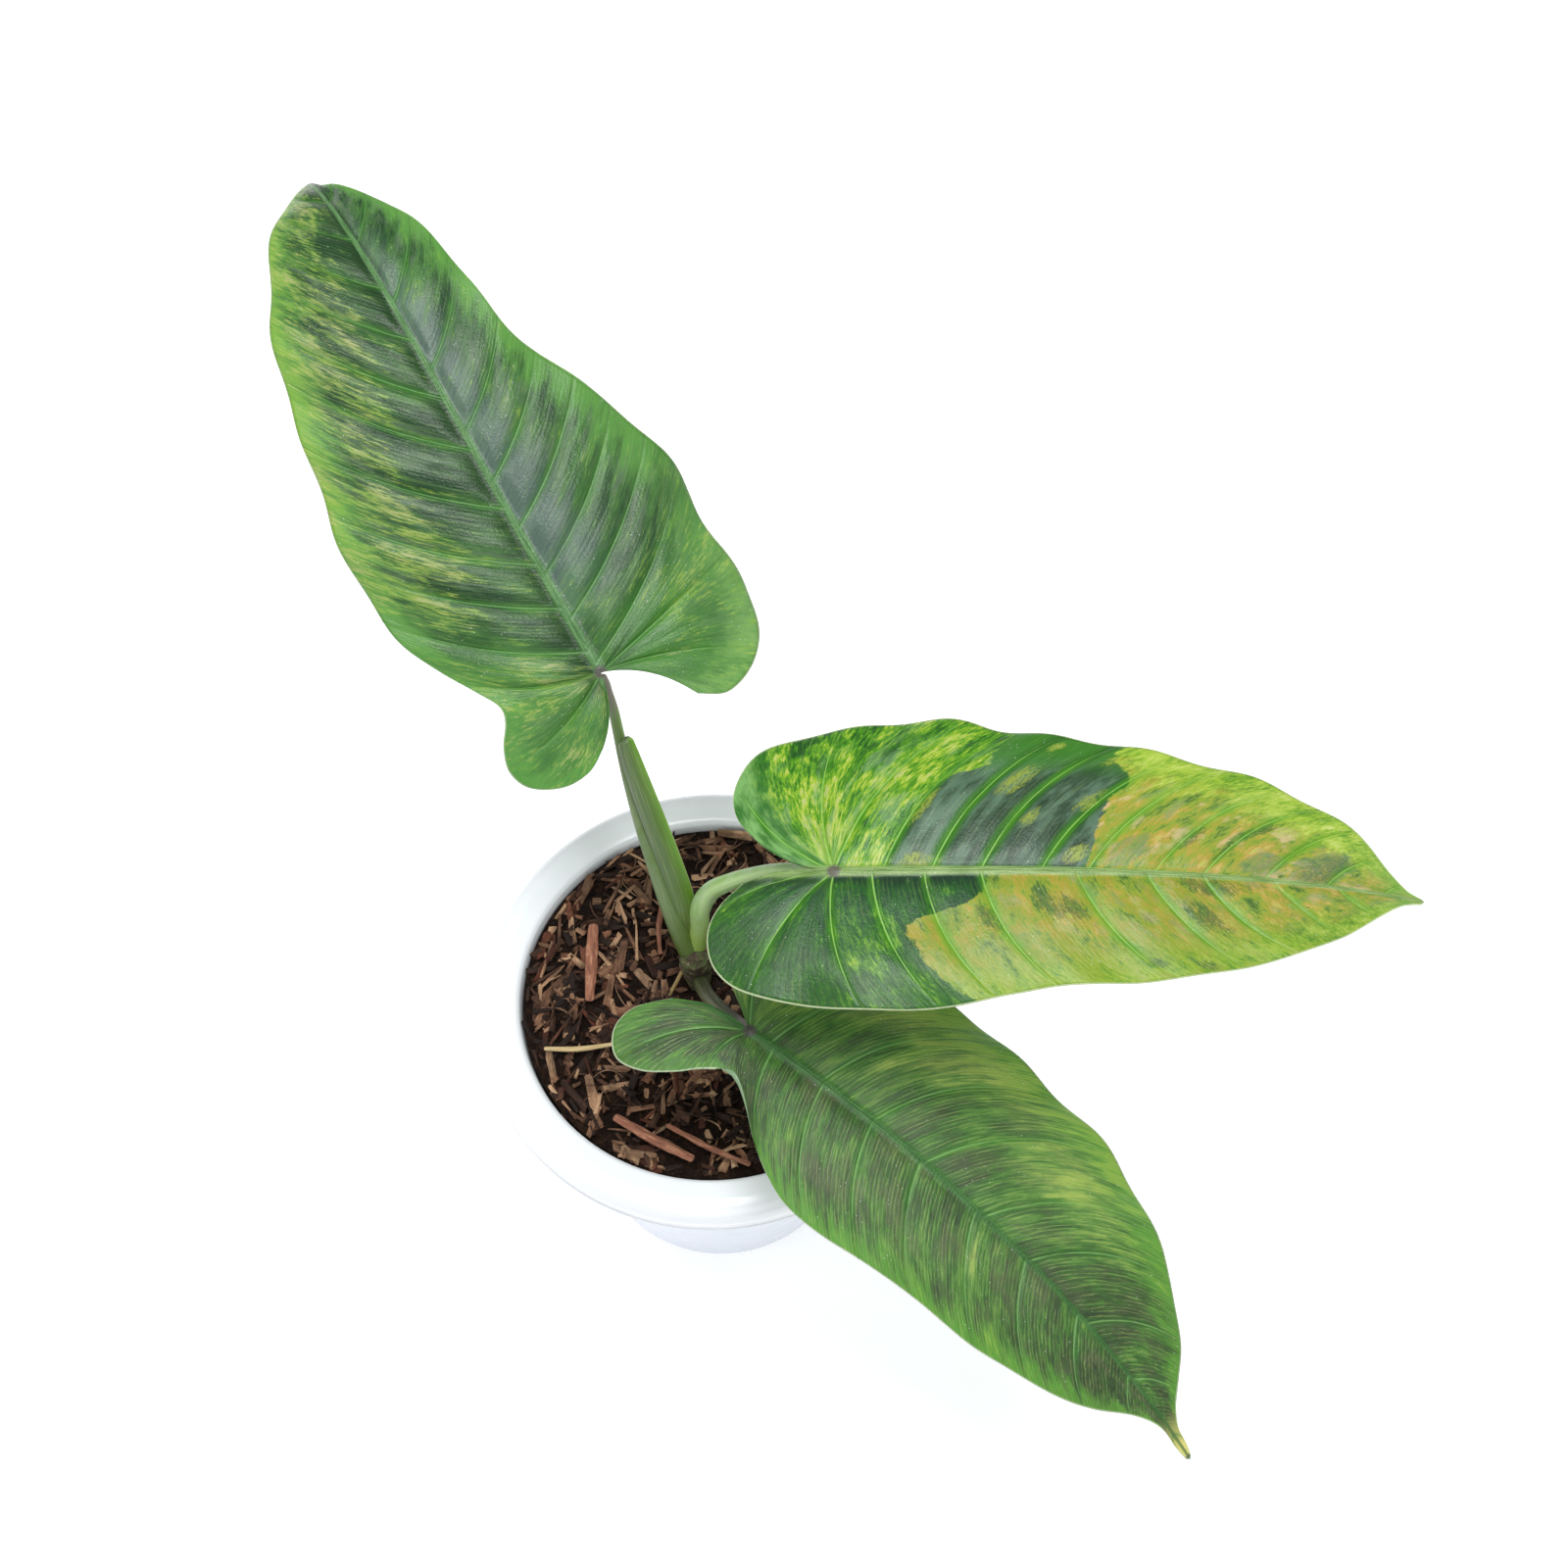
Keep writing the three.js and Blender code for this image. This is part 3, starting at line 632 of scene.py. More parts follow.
upperLook = {
    "length": 206, "minorSpacing": 1.5, "minorShow": 0.2, "minorTone": (124, 152, 92), "haloShow": 0.5,
    "haloTone": (62, 120, 42), "veinHalf": 0.32, "veinShow": 0.62, "veinTone": (102, 150, 84),
    "ribHalf": 1.75, "ribShow": 0.9, "ribDark": (66, 108, 58), "ribTone": (108, 150, 96), "marginShow": 0.6,
    "marginTone": (165, 190, 140), "roughness": 0.24, "bump": 0.5,
}
rightLook = {
    "length": 174, "minorSpacing": 1.5, "minorShow": 0.16, "minorTone": (150, 172, 92),
    "haloShow": 0.6, "haloTone": (74, 138, 32), "veinHalf": 0.26, "veinShow": 0.8, "veinTone": (140, 190, 90),
    "ribHalf": 1.9, "ribShow": 0.95, "ribDark": (98, 132, 66), "ribTone": (150, 176, 112),
    "marginShow": 0.8, "marginTone": (205, 218, 175),
    "roughness": 0.26, "bump": 0.35,
    # Patches as k, q and size in both; ends of the coloured sectors as q and k
    "islands": [
        (2.4, 0.58, 0.2, 0.11), (3.25, 0.31, 0.12, 0.06), (1.1, 0.36, 0.16, 0.1), (3.86, 0.48, 0.14, 0.1),
        (1.6, 0.05, 0.5, 0.04), (3.4, 0.84, 0.12, 0.06), (4.5, 0.1, 0.3, 0.05), (2.2, 0.9, 0.1, 0.05)],
    "leftPatches": [
        (7.0, 0.32, 0.16, 0.16), (7.12, 0.52, 0.12, 0.1), (6.09, 0.29, 0.16, 0.1), (8.72, 0.3, 0.3, 0.26)],
    "rightPatches": [
        (3.75, 0.31, 0.14, 0.1), (3.54, 0.27, 0.12, 0.12), (5.43, 0.42, 0.26, 0.18), (5.95, 0.12, 0.5, 0.1),
        (4.61, 0.92, 0.12, 0.06), (4.07, 0.83, 0.1, 0.05), (2.85, 0.38, 0.16, 0.1)],
    # Pale grey patches near the midrib of the dark sector, a painted sheen
    "paintedSheenSpots": [(7.75, 0.16, 0.4, 0.14), (5.4, 0.15, 0.3, 0.12), (8.7, 0.3, 0.5, 0.4)],
    "flecked": [(0.4, 0.5, 0.5, 0.25), (1.0, 0.4, 0.3, 0.16), (2.3, 0.12, 0.3, 0.08)],
    "limeEnd": [(0, 0.95), (0.5, 1.0), (0.58, 1.08), (0.63, 1.45), (0.68, 1.58), (0.78, 1.36), (1, 1.1)],
    "darkEnd": [
        (0, 5.0), (0.18, 4.73), (0.41, 4.31), (0.54, 4.1), (0.64, 4.1), (0.72, 3.9), (0.83, 3.4), (1, 3.1)],
    "greenEnd": [
        (0, 3.05), (0.08, 3.02), (0.2, 2.85), (0.24, 2.67), (0.29, 2.31), (0.31, 2.06), (0.36, 1.56),
        (0.43, 1.36), (0.67, 1.42), (0.85, 1.5), (1, 1.7)],
}
lowerLook = {
    "length": 183, "minorSpacing": 1.3, "minorShow": 0.45, "minorTone": (152, 172, 98), "haloShow": 0.45,
    "haloTone": (58, 118, 46), "veinHalf": 0.32, "veinShow": 0.7, "veinTone": (122, 172, 98), "ribHalf": 1.8,
    "ribShow": 0.8, "ribDark": (50, 92, 46), "ribTone": (80, 126, 68), "marginShow": 0.8,
    "marginTone": (195, 208, 175), "roughness": 0.36, "bump": 0.6,
}


def upperSkin(w):
    c = Chart(w)
    broad, mid, fleck = c.streak(16, 30, 1), c.streak(3.5, 13, 2), c.streak(0.6, 4.5, 3, 5, 0.7)
    besideRib = (c.v + mid * 4).rise(12, 3) * (c.v + 1).rise(-1, 0)
    # Grey-blue tint beside the midrib on the right half, a painted sheen
    sheen = c.right * c.past(0.5, 0.15, mid, 0.5) * c.k.rise(0.2, 2) * c.k.rise(9, 6.5)
    edge = c.past(0.62, 0.96, mid, 0.6) * (0.8 - c.right * c.k.rise(1.5, 0) * 0.35)
    rim = c.left * c.past(0.82, 1.0, mid, 0.5) * c.k.rise(0.5, 2.5)
    sinus = (c.k + c.q * 0.3).rise(0.6, -0.4) * c.q.rise(0.1, 0.3)
    lobeTip = c.right * c.past(0.7, 0.95, broad, 0.5) * c.k.rise(-0.2, -1.4)
    base = paint(
        (broad * 0.6 + mid * 0.4).rise(0.38, 0.62).mix((34, 62, 38), (66, 108, 56)),
        (c.streak(6, 20, 4).rise(0.5, 0.66) * 0.7, (88, 108, 84)),
        (c.streak(0.7, 16, 14, 3).rise(0.5, 0.72) * 0.4, (98, 134, 78)), (besideRib * 0.85, (36, 62, 34)),
        (sheen * 0.4, (112, 128, 126)), (edge, (92, 148, 66)), (rim * 0.6, (132, 174, 70)),
        (sinus * 0.5, (84, 140, 66)),
        (lobeTip * (mid * 0.5 + fleck * 0.5).rise(0.3, 0.7) * 0.8, (136, 178, 100)))
    # Flecks: a band along the left half, many in the right back lobe, fewer in the left one
    leftBand = c.left * c.past(0.2, 0.5, mid, 0.7) * c.k.rise(-0.4, 0.9)
    rightLobe = c.right * (c.k + sway((mid, 2))).rise(1.0, 0.1) * c.past(0.25, 0.45, mid, 0.5)
    rightLobe *= c.k.rise(-2.6, -1.4)
    amount = leftBand * 0.4 + rightLobe * 0.28 + c.left * c.k.rise(0.3, -0.4) * 0.24 + 0.1
    level = sway((fleck, 2.8), (mid, 1.1), (broad, 1.0)) + amount
    tone = (level * 0.7 + sway((c.streak(8, 16, 18), 1.6)) + c.left * 0.1 + 0.12).shade(
        (0.3, 96, 146, 52), (0.55, 134, 168, 66), (0.8, 160, 176, 88), (1.0, 176, 176, 118))
    return drawVeins(c, (level.rise(0.32, 0.85) * 0.68).mix(base, tone), upperLook)


def rightSkin(w):
    c, look = Chart(w), rightLook
    broad, mid, fleck = c.streak(14, 22, 1), c.streak(3.2, 8, 2), c.streak(0.6, 2.8, 3, 5, 0.72)
    smudge, crumb = c.streak(6, 11, 51), c.streak(1.1, 1.6, 61, 4, 0.7)
    soft = mid * 0.5 + broad * 0.5
    jag = sway((mid, 0.6), (c.streak(1.4, 3, 7, 5, 0.7), 0.6))
    ragged = sway((fleck, 6), (mid, 4), (crumb, 5))
    level = sway((fleck, 1.9), (mid, 1.4), (broad, 0.8)) + 0.5
    sieve = (fleck * 0.5 + crumb * 0.5).rise(0.4, 0.54)
    # Dark sector of the left half, with a few speckled islands
    dark = paint(
        soft.rise(0.38, 0.62).mix((46, 68, 50), (92, 120, 98)),
        (c.past(0.55, 0.9, broad, 0.4) * 0.9, (58, 118, 34)), (c.fromVein.rise(3.6, 0.6), (46, 98, 34)),
        (c.spots(ragged, look["islands"]) * sieve * 0.85, (146, 162, 66)))
    # Lime marbling nearest the stalk
    lime = (level - c.q.rise(0.55, 1.0) * 0.12 + sway((smudge, 0.3))).shade(
        (0.05, 36, 78, 32), (0.28, 58, 118, 32), (0.46, 90, 146, 38), (0.6, 130, 170, 46),
        (0.74, 172, 186, 68), (0.88, 180, 188, 124), (1.0, 150, 166, 132))
    lime = paint(lime, (c.streak(5, 12, 71).rise(0.52, 0.66) * c.q.rise(0.95, 0.6) * 0.45, (128, 158, 116)))
    # Ochre beyond the dark: tan and olive, drawn out along the veins, lime at the margin
    warm = sway((smudge, 1.5), (mid, 1.0), (fleck, 1.3), (c.k.part(), 0.12)) + 0.46
    ochre = warm.shade(
        (0.04, 70, 100, 50), (0.2, 100, 130, 52), (0.36, 132, 154, 56), (0.5, 148, 150, 56),
        (0.64, 170, 148, 64), (0.8, 186, 162, 92), (0.98, 170, 182, 84))
    limeEdge = (level + 0.04).shade(
        (0.08, 66, 120, 38), (0.32, 110, 154, 46), (0.55, 146, 178, 58), (0.8, 170, 192, 80),
        (1.0, 190, 202, 120))
    pink = c.streak(7, 9, 55).rise(0.54, 0.68) * c.q.rise(0.75, 0.5) * (c.left * 0.4 + 0.3)
    byVein = (c.fromVein + sway((mid, 6))).rise(3.4, 0.6) * c.q.rise(0.05, 0.3)
    speck = crumb.rise(0.57, 0.64) * (c.streak(6, 7, 63) * 0.7 + mid * 0.3).rise(0.5, 0.62)
    ochre = paint(
        ochre, (c.streak(5, 10, 57).rise(0.54, 0.66) * 0.5, (124, 142, 100)), (pink, (204, 178, 138)),
        (byVein * 0.6, (128, 172, 60)),
        ((c.q + sway((mid, 0.8)) + (c.k - 5) * 0.03).rise(0.5, 0.9), limeEdge), (speck * 0.7, (62, 88, 44)))
    # Green of the right half, flecked towards the margin
    flecked = c.k.rise(-0.8, 0.6) * c.q.rise(0.4, 0.75) * 0.12 + c.spots(0, look["flecked"]) * 0.22
    green = (level * 0.8 - 0.06 + flecked).shade(
        (0.1, 34, 68, 42), (0.42, 42, 88, 42), (0.6, 54, 106, 40), (0.76, 94, 144, 44), (0.97, 152, 180, 70))
    green = paint(
        green, ((c.q + c.k * 0.25 + sway((broad, 0.5))).rise(1.0, 1.3) * 0.15, (76, 128, 80)),
        ((abs(c.v) + mid * 8).rise(12, 6), (38, 62, 44)))
    # Left half: smooth sinus edge, lime, dark, ochre
    calm = soft.rise(0.4, 0.62).mix((50, 106, 42), (118, 166, 96))
    leftHalf = paint(
        lime, ((c.k + jag * 0.5 - c.q.profile(look["limeEnd"])).rise(-0.03, 0.03), dark),
        ((c.k + jag * 0.4 - c.q.profile(look["darkEnd"])).rise(-0.025, 0.025), ochre),
        ((c.k + jag * 0.3).rise(-1.5, -1.9), calm))
    # Right half: green, then ochre
    olive = (mid.rise(0.36, 0.64) * c.k.rise(7.5, 5) * 0.5).mix(ochre, (122, 138, 46))
    rightHalf = paint(
        green, ((c.k + jag * 0.6 - c.q.profile(look["greenEnd"])).rise(-0.03, 0.03), olive),
        (c.q.rise(0.35, 0.8) * 0.18, (70, 108, 24)))
    patches = (c.left * c.spots(ragged, look["leftPatches"])).most(
        c.right * c.spots(ragged, look["rightPatches"]))
    # Pale grey-green patches of painted sheen near the midrib of the left half
    paintedSheenSpots = c.left * c.spots(sway((mid, 3)), look["paintedSheenSpots"])
    base = paint(
        c.left.mix(rightHalf, leftHalf), (patches * (sieve * 0.6 + 0.25), (62, 92, 54)),
        (paintedSheenSpots * (sieve * 0.3 + 0.15), (104, 124, 98)), (c.u.rise(150, 172) * 0.6, (120, 164, 80)))
    return drawVeins(c, base, look)


def lowerSkin(w):
    c = Chart(w)
    broad, mid, fleck = c.streak(14, 24, 1), c.streak(3, 16, 2), c.streak(0.7, 8, 3, 5, 0.7)
    lobe = c.right * c.k.rise(0.6, -0.2)
    light = c.left * c.q.rise(0.0, 0.7) * c.k.rise(6, 4) * 0.3 - lobe * 0.16 - c.u.rise(100, 155) * 0.12
    level = sway((broad, 1.0), (mid, 0.9), (fleck, 1.0)) + 0.48 + light
    base = level.shade(
        (0.08, 50, 68, 46), (0.32, 64, 88, 52), (0.48, 66, 106, 52), (0.64, 90, 132, 62), (0.8, 122, 154, 76),
        (0.96, 160, 174, 96))
    brown = c.streak(9, 18, 8).rise(0.46, 0.64) * c.q.rise(0.95, 0.6) * (0.6 - c.left * 0.25)
    edge = c.past(0.66, 0.98, mid, 0.6)
    base = paint(
        base, (brown, (88, 94, 70)), (edge * (0.75 - lobe * 0.35), (96, 154, 60)),
        ((level + edge * 0.14 - 0.04).rise(0.7, 0.92) * 0.5, (146, 176, 72)),
        (c.u.rise(166, 180), (226, 220, 130)), (c.u.rise(181.5, 182.8), (96, 66, 52)))
    return drawVeins(c, base, lowerLook)


def undersideSkin(w):
    c = Chart(w)
    mid = c.streak(3, 14, 2)
    base = paint(
        mid.rise(0.3, 0.7).mix((128, 158, 118), (158, 182, 146)),
        (c.fromVein.rise(1.0, 0.3) * 0.6, (178, 196, 150)), (abs(c.v).rise(1.5, 1.1) * 0.8, (170, 190, 130)))
    return {"Base Color": base, "Bump": (c.fromVein.rise(0.9, 0.0) + mid * 0.4, 0.5, 0.0005)}


under = material("leafUnderside", undersideSkin, leafTone, Roughness=0.62)
for name, leaf, recipe in (("upper", leafUpper, upperSkin), ("right", leafRight, rightSkin),
                           ("lower", leafLower, lowerSkin)):
    skin = material("leafTop." + name, recipe, leafTone, Specular_IOR_Level=0.32)
    node = "leaf_" + name
    addPiece(makeLeaf("blade." + name, leaf, skin, under), node, node)
print("leaves ready")


# Stalks, stem, root and other rods

rods = {
    "stem": {
        "route": [(-4.2, 5, 106), (-4.4, 5.2, 118), (-4.8, 5.4, 126), (-5.4, 6.2, 133), (-6.4, 7.4, 139)],
        "radii": [3.6, 3.8, 4.1, 4.7, 4.2]},
    "stalkUpper": {
        "route": [
            (-7.2, 8.4, 136), (-10.3, 12.4, 143), (-13.8, 18.2, 151), (-17.5, 25.8, 161), (-20.9, 33.7, 170),
            (-23.7, 41.1, 179), (-26, 48.1, 189), (-27.6, 53.6, 197), (-29, 57.6, 204.5), (-32.2, 63.2, 213)],
        "radii": [3.3, 3, 2.6, 2.3, 2.1, 2, 1.9, 1.7, 1.6, 1.7]},
    "stalkRight": {
        "route": [
            (-5.4, 9.4, 136), (-4.2, 14, 144), (-3.6, 17, 150), (-0.4, 19.1, 157), (6.1, 18.1, 166),
            (15.2, 15.3, 177), (22.6, 11.4, 187), (29.8, 7.2, 195), (37, 1.6, 202.6)],
        "radii": [3.2, 3.2, 3.3, 3.1, 2.7, 2.3, 2, 1.7, 1.7]},
    "stalkLower": {
        "route": [
            (-4.2, 2.8, 129), (-2.6, -3, 133.5), (-0.6, -8.5, 139), (4.6, -17.6, 148), (9.3, -25.1, 157),
            (12.4, -30.4, 162.8)],
        "radii": [2.5, 2.5, 2.4, 2.2, 2, 1.9]},
    "newLeafSheath": {
        "route": [
            (-6.2, 12.2, 140), (-7.6, 17, 147), (-9.3, 21.4, 153), (-12.4, 27.6, 162), (-15.3, 33, 170),
            (-18.3, 38.4, 178), (-21.2, 43.6, 186), (-23.6, 48.2, 193), (-24.6, 50.4, 196.5),
            (-24.9, 51, 197.4)],
        "radii": [2.2, 3, 3.2, 3.1, 2.9, 2.7, 2.4, 2, 1.5, 0.7]},
    "aerialRoot": {
        "route": [(-7.6, 5.6, 133.5), (-9.6, 4.6, 130.5), (-11.6, 2.4, 127), (-13.7, -0.1, 123.6),
                  (-14.6, -1.4, 120.5)],
        "radii": [0.9, 0.7, 0.6, 0.55, 0.4]},
    "barkStripLong": {
        "route": [(-39.1, 24.5, 124.2), (-39.4, 11, 124.6), (-39.2, -3, 124.2)], "width": 2, "height": 0.9},
    "barkStripFront": {
        "route": [(-30, -41.6, 123.9), (-17.5, -49.6, 124.6), (-5, -55.6, 123.6)], "width": 1.6,
        "height": 0.9},
    "barkStripThin": {
        "route": [(-13.7, -44.6, 124.4), (-0.2, -52.2, 124.4), (12.4, -57.2, 123.2)],
        "width": 0.9, "height": 0.7},
    "barkStripBack": {
        "route": [(-17.1, 32.6, 124.6), (-18, 22, 125), (-17.2, 13.2, 124.8)], "width": 0.8, "height": 0.6},
    "straw": {
        "route": [(-53, -18.9, 123.4), (-42.2, -19.4, 124.3), (-30.5, -17.8, 124.6)],
        "width": 0.9, "height": 0.6},
}


def tube(bm, route, radii, flatness=1.0, around=32, along=120, relief=None, endRound=0.6,
         tags=(0.5, 0.5)):
    # Tube along a route with rounded closed ends; its UV maps hold mm along, turn, and any tags
    route = [Vector(p) for p in route]
    layers = [bm.loops.layers.uv.get(key) or bm.loops.layers.uv.new(key) for key in ("route", "tags")]
    grid = bmesh.ops.create_grid(bm, x_segments=along, y_segments=around, size=1)
    length = sum((b - a).length for a, b in zip(route, route[1:]))
    rings = {}
    marks = {}
    for vert in grid["verts"]:
        t, turn = (vert.co.x + 1) / 2, (vert.co.y + 1) / 2
        t = lerp(t, 0.5 - 0.5 * math.cos(math.pi * t), 0.5)      # rings closer at both ends
        if t not in rings:
            ahead = (onRoute(route, min(t + 0.005, 1)) - onRoute(route, max(t - 0.005, 0))).normalized()
            aside = Vector((0, 0, 1)).cross(ahead)
            if aside.length < 0.3:
                aside = Vector((0, 1, 0)).cross(ahead)
            aside.normalize()
            radius = onScale(radii, t)
            toEnd = min(min(t, 1 - t) * length / (max(radii[0 if t < 0.5 else -1], 0.1) * endRound), 1)
            rings[t] = (onRoute(route, t), aside, ahead.cross(aside), radius, math.sqrt(1 - (1 - toEnd) ** 2))
        centre, aside, above, radius, rounding = rings[t]
        angle = turn * 2 * math.pi
        reach = (radius + (relief(t, turn) if relief else 0)) * rounding
        marks[vert] = ((t * length / 100, turn), tags)
        vert.co = (centre + aside * math.cos(angle) * reach + above * math.sin(angle) * reach * flatness) * mm
    markFaces(layers, marks)


def makeRod(name, rod, skin, around=32, along=120, relief=None, endRound=0.6):
    radii = rod.get("radii") or [rod["width"] * share for share in (0.75, 1, 0.7)]
    flatness = rod["height"] / rod["width"] if "width" in rod else 1.0
    bm = bmesh.new()
    tube(bm, rod["route"], radii, flatness, around, along, relief, endRound)
    bmesh.ops.remove_doubles(bm, verts=bm.verts, dist=0.000002)
    return finishMesh(bm, name, [skin])


def bump(turn, at, width):
    # 1 at one place round a rod, falling off to both sides
    gap = abs((turn - at + 0.5) % 1 - 0.5)
    return math.exp(-(gap / width) ** 2)


def roughness(turn, across, along):
    # Noise without a seam, -1 to 1
    angle = turn * 2 * math.pi
    return noise.noise(Vector((math.cos(angle) * across, math.sin(angle) * across, along)))


def stalkRelief(t, turn):
    # Shallow groove on top, fine ribs, and a small swelling where the blade starts
    ribs = 0.03 * math.sin(turn * 2 * math.pi * 14 + math.sin(t * 9) * 1.2)
    return ribs - 0.16 * bump(turn, 0.25, 0.09) * smooth(t, 0.3, 0.6) \
        + 0.25 * math.exp(-((t - 0.965) / 0.02) ** 2)


def sheathRelief(t, turn):
    # Wing edges that wrap the stalk beside it, and a raised seam
    wrap = 1.7 * bump(turn, 0.02, 0.13) * smooth(t, 0.02, 0.12) * (1 - smooth(t, 0.86, 0.98))
    seam = 0.35 * bump(turn, 0.42, 0.03) * smooth(t, 0.05, 0.2)
    return wrap + seam - 0.12 * bump(turn, 0.33, 0.06) + 0.04 * math.sin(turn * 2 * math.pi * 18)


def stemRelief(t, turn):
    # Rings of old leaf scars with torn edges
    scars = sum(0.5 * math.exp(-((t - at) / 0.018) ** 2) for at in (0.52, 0.62, 0.7, 0.79, 0.87, 0.94))
    rough = roughness(turn, 2, t * 22)
    return scars * (0.6 + rough * 0.8) + rough * 0.35


def barkRelief(t, turn):
    ribs = 0.12 * math.sin(turn * 2 * math.pi * 5 + t * 4) * smooth(t, 0, 0.1)
    return roughness(turn, 1.7, t * 7) * 0.3 + ribs


def rodCoords(w):
    along, turn = w.uv("route")
    return along * 100, turn, w.here()


def stalkSkin(name, body, ridge, grey, foot, length):
    def recipe(w):
        mmAlong, turn, here = rodCoords(w)
        fibre = w.vector(mmAlong * 0.07, turn * 26, 2).noise(1, 4, 0.6)
        cloud = here.noise(160, 3)
        speck = here.cells(1500).rise(0.22, 0.1) * cloud.rise(0.45, 0.6)
        knuckle = (mmAlong + cloud * 6).rise(length - 13, length - 4)
        base = paint(
            cloud.rise(0.35, 0.65).mix(body, grey), (abs(turn - 0.4).rise(0.13, 0.03) * 0.85, ridge),
            (fibre.rise(0.48, 0.7) * 0.35, (150, 165, 110)), (speck * 0.5, (70, 60, 50)),
            ((mmAlong + cloud * 8).rise(32, 8) * 0.85, foot), (knuckle * 0.8, (112, 100, 100)))
        return {"Base Color": base, "Bump": (fibre + cloud * 0.5, 0.4, 0.0004)}
    return material(name, recipe, Roughness=0.42)


def sheathSkin(w):
    mmAlong, turn, here = rodCoords(w)
    fibre = w.vector(mmAlong * 0.05, turn * 30, 5).noise(1, 4, 0.6)
    cloud = here.noise(130, 3)
    # Grey green round the back, a bright green side, and a pale line at the edge of the wing that is a
    # painted highlight
    across = turn.shade(
        (0.0, 88, 104, 74), (0.13, 80, 102, 62), (0.22, 80, 108, 44), (0.3, 78, 122, 20), (0.4, 96, 142, 28),
        (0.425, 176, 194, 130), (0.445, 196, 206, 160), (0.47, 96, 116, 66), (1.0, 76, 96, 50))
    base = paint(
        across, ((mmAlong + cloud * 6).rise(32, 5) * 0.95, (70, 92, 10)),
        (fibre.rise(0.45, 0.7) * 0.3, (150, 168, 106)), (cloud.rise(0.5, 0.7) * 0.35, (84, 108, 66)),
        (mmAlong.rise(68, 73) * 0.85, (62, 66, 46)))
    return {"Base Color": base, "Bump": (fibre + cloud * 0.4, 0.4, 0.0004), "Roughness": cloud * 0.2 + 0.36}


def stemSkin(w):
    here = w.here()
    cloud, grain = here.noise(300, 4, 0.65), here.noise(900, 4, 0.7)
    base = cloud.shade((0.3, 34, 26, 18), (0.46, 62, 50, 32), (0.56, 62, 76, 34), (0.7, 104, 84, 62))
    base = (grain.rise(0.57, 0.7) * 0.7).mix(base, (164, 134, 114))
    return {"Base Color": base, "Bump": (grain + cloud, 0.8, 0.0008)}


def woodSkin(name, dark, middle, light):
    def recipe(w):
        mmAlong, turn, _ = rodCoords(w)
        fibre = w.vector(mmAlong * 0.16, turn * 9, 2).noise(1, 5, 0.7)
        fine = w.vector(mmAlong * 0.5, turn * 24, 8).noise(1, 3, 0.6)
        level = fibre * 0.7 + fine * 0.3
        base = level.shade((0.3, *dark), (0.5, *middle), (0.68, *light))
        return {"Base Color": base, "Bump": (level, 0.9, 0.0007)}
    return material(name, recipe, Roughness=0.85)


def addRod(key, skin, slot, node, *shape):
    addPiece(makeRod(key + "Body", rods[key], skin, *shape), slot, node)


addRod("stem", material("stemSkin", stemSkin, Roughness=0.8), "stem", "stem", 48, 160, stemRelief, 1.3)
# Body, ridge, grey and foot colours, and length in mm
for key, node, look in (
        ("stalkUpper", "stalk_upper", ((84, 108, 54), (94, 130, 50), (98, 118, 78), (70, 92, 20), 98)),
        ("stalkRight", "stalk_right", ((124, 160, 84), (162, 190, 128), (146, 172, 128), (118, 142, 52), 92)),
        ("stalkLower", "stalk_lower", ((46, 50, 36), (88, 90, 62), (58, 52, 46), (46, 56, 28), 52))):
    addRod(key, stalkSkin(key + "Skin", *look), "stalk", node, 40, 160, stalkRelief)
addRod("newLeafSheath", material("sheathSkin", sheathSkin), "sheath", "new_leaf_sheath", 60, 160,
       sheathRelief)
rootSkin = woodSkin("rootSkin", (110, 86, 52), (152, 126, 78), (184, 160, 108))
addRod("aerialRoot", rootSkin, "aerial_root", "aerial_root", 14, 60)
redBark = woodSkin("redBark", (64, 34, 24), (138, 88, 66), (196, 146, 114))
for side in ("Long", "Front", "Thin", "Back"):
    addRod("barkStrip" + side, redBark, "bark", "bark_strip_" + side.lower(), 28, 90, barkRelief)
strawSkin = woodSkin("strawSkin", (158, 132, 92), (194, 170, 122), (220, 202, 160))
addRod("straw", strawSkin, "straw", "straw", 16, 60)
print("stalks ready")


# Pot

pot = {
    "wall": 2.2,
    "mouth": 61.5,
    "baseInside": 43.8,
    "insideTop": 121,
    "turns": 144,
    "roundings": 5,
    "cornerCut": 1.2,
    "drains": 4,
    "drainRadius": 3.5,
    "drainReach": 30,
}


def potInside(height):
    return lerp(pot["baseInside"], pot["mouth"], height / pot["insideTop"])


def turnedShape(bm, profile, turns):
    # Spins a half section, given as radius and height, round the middle of the pot
    verts = [bm.verts.new((r * mm, 0, z * mm)) for r, z in profile]
    edges = [bm.edges.new(pair) for pair in zip(verts, verts[1:])]
    bmesh.ops.spin(bm, geom=verts + edges, axis=(0, 0, 1), cent=(0, 0, 0), angle=2 * math.pi, steps=turns,
                   use_merge=True)
    bmesh.ops.remove_doubles(bm, verts=bm.verts, dist=0.000005)


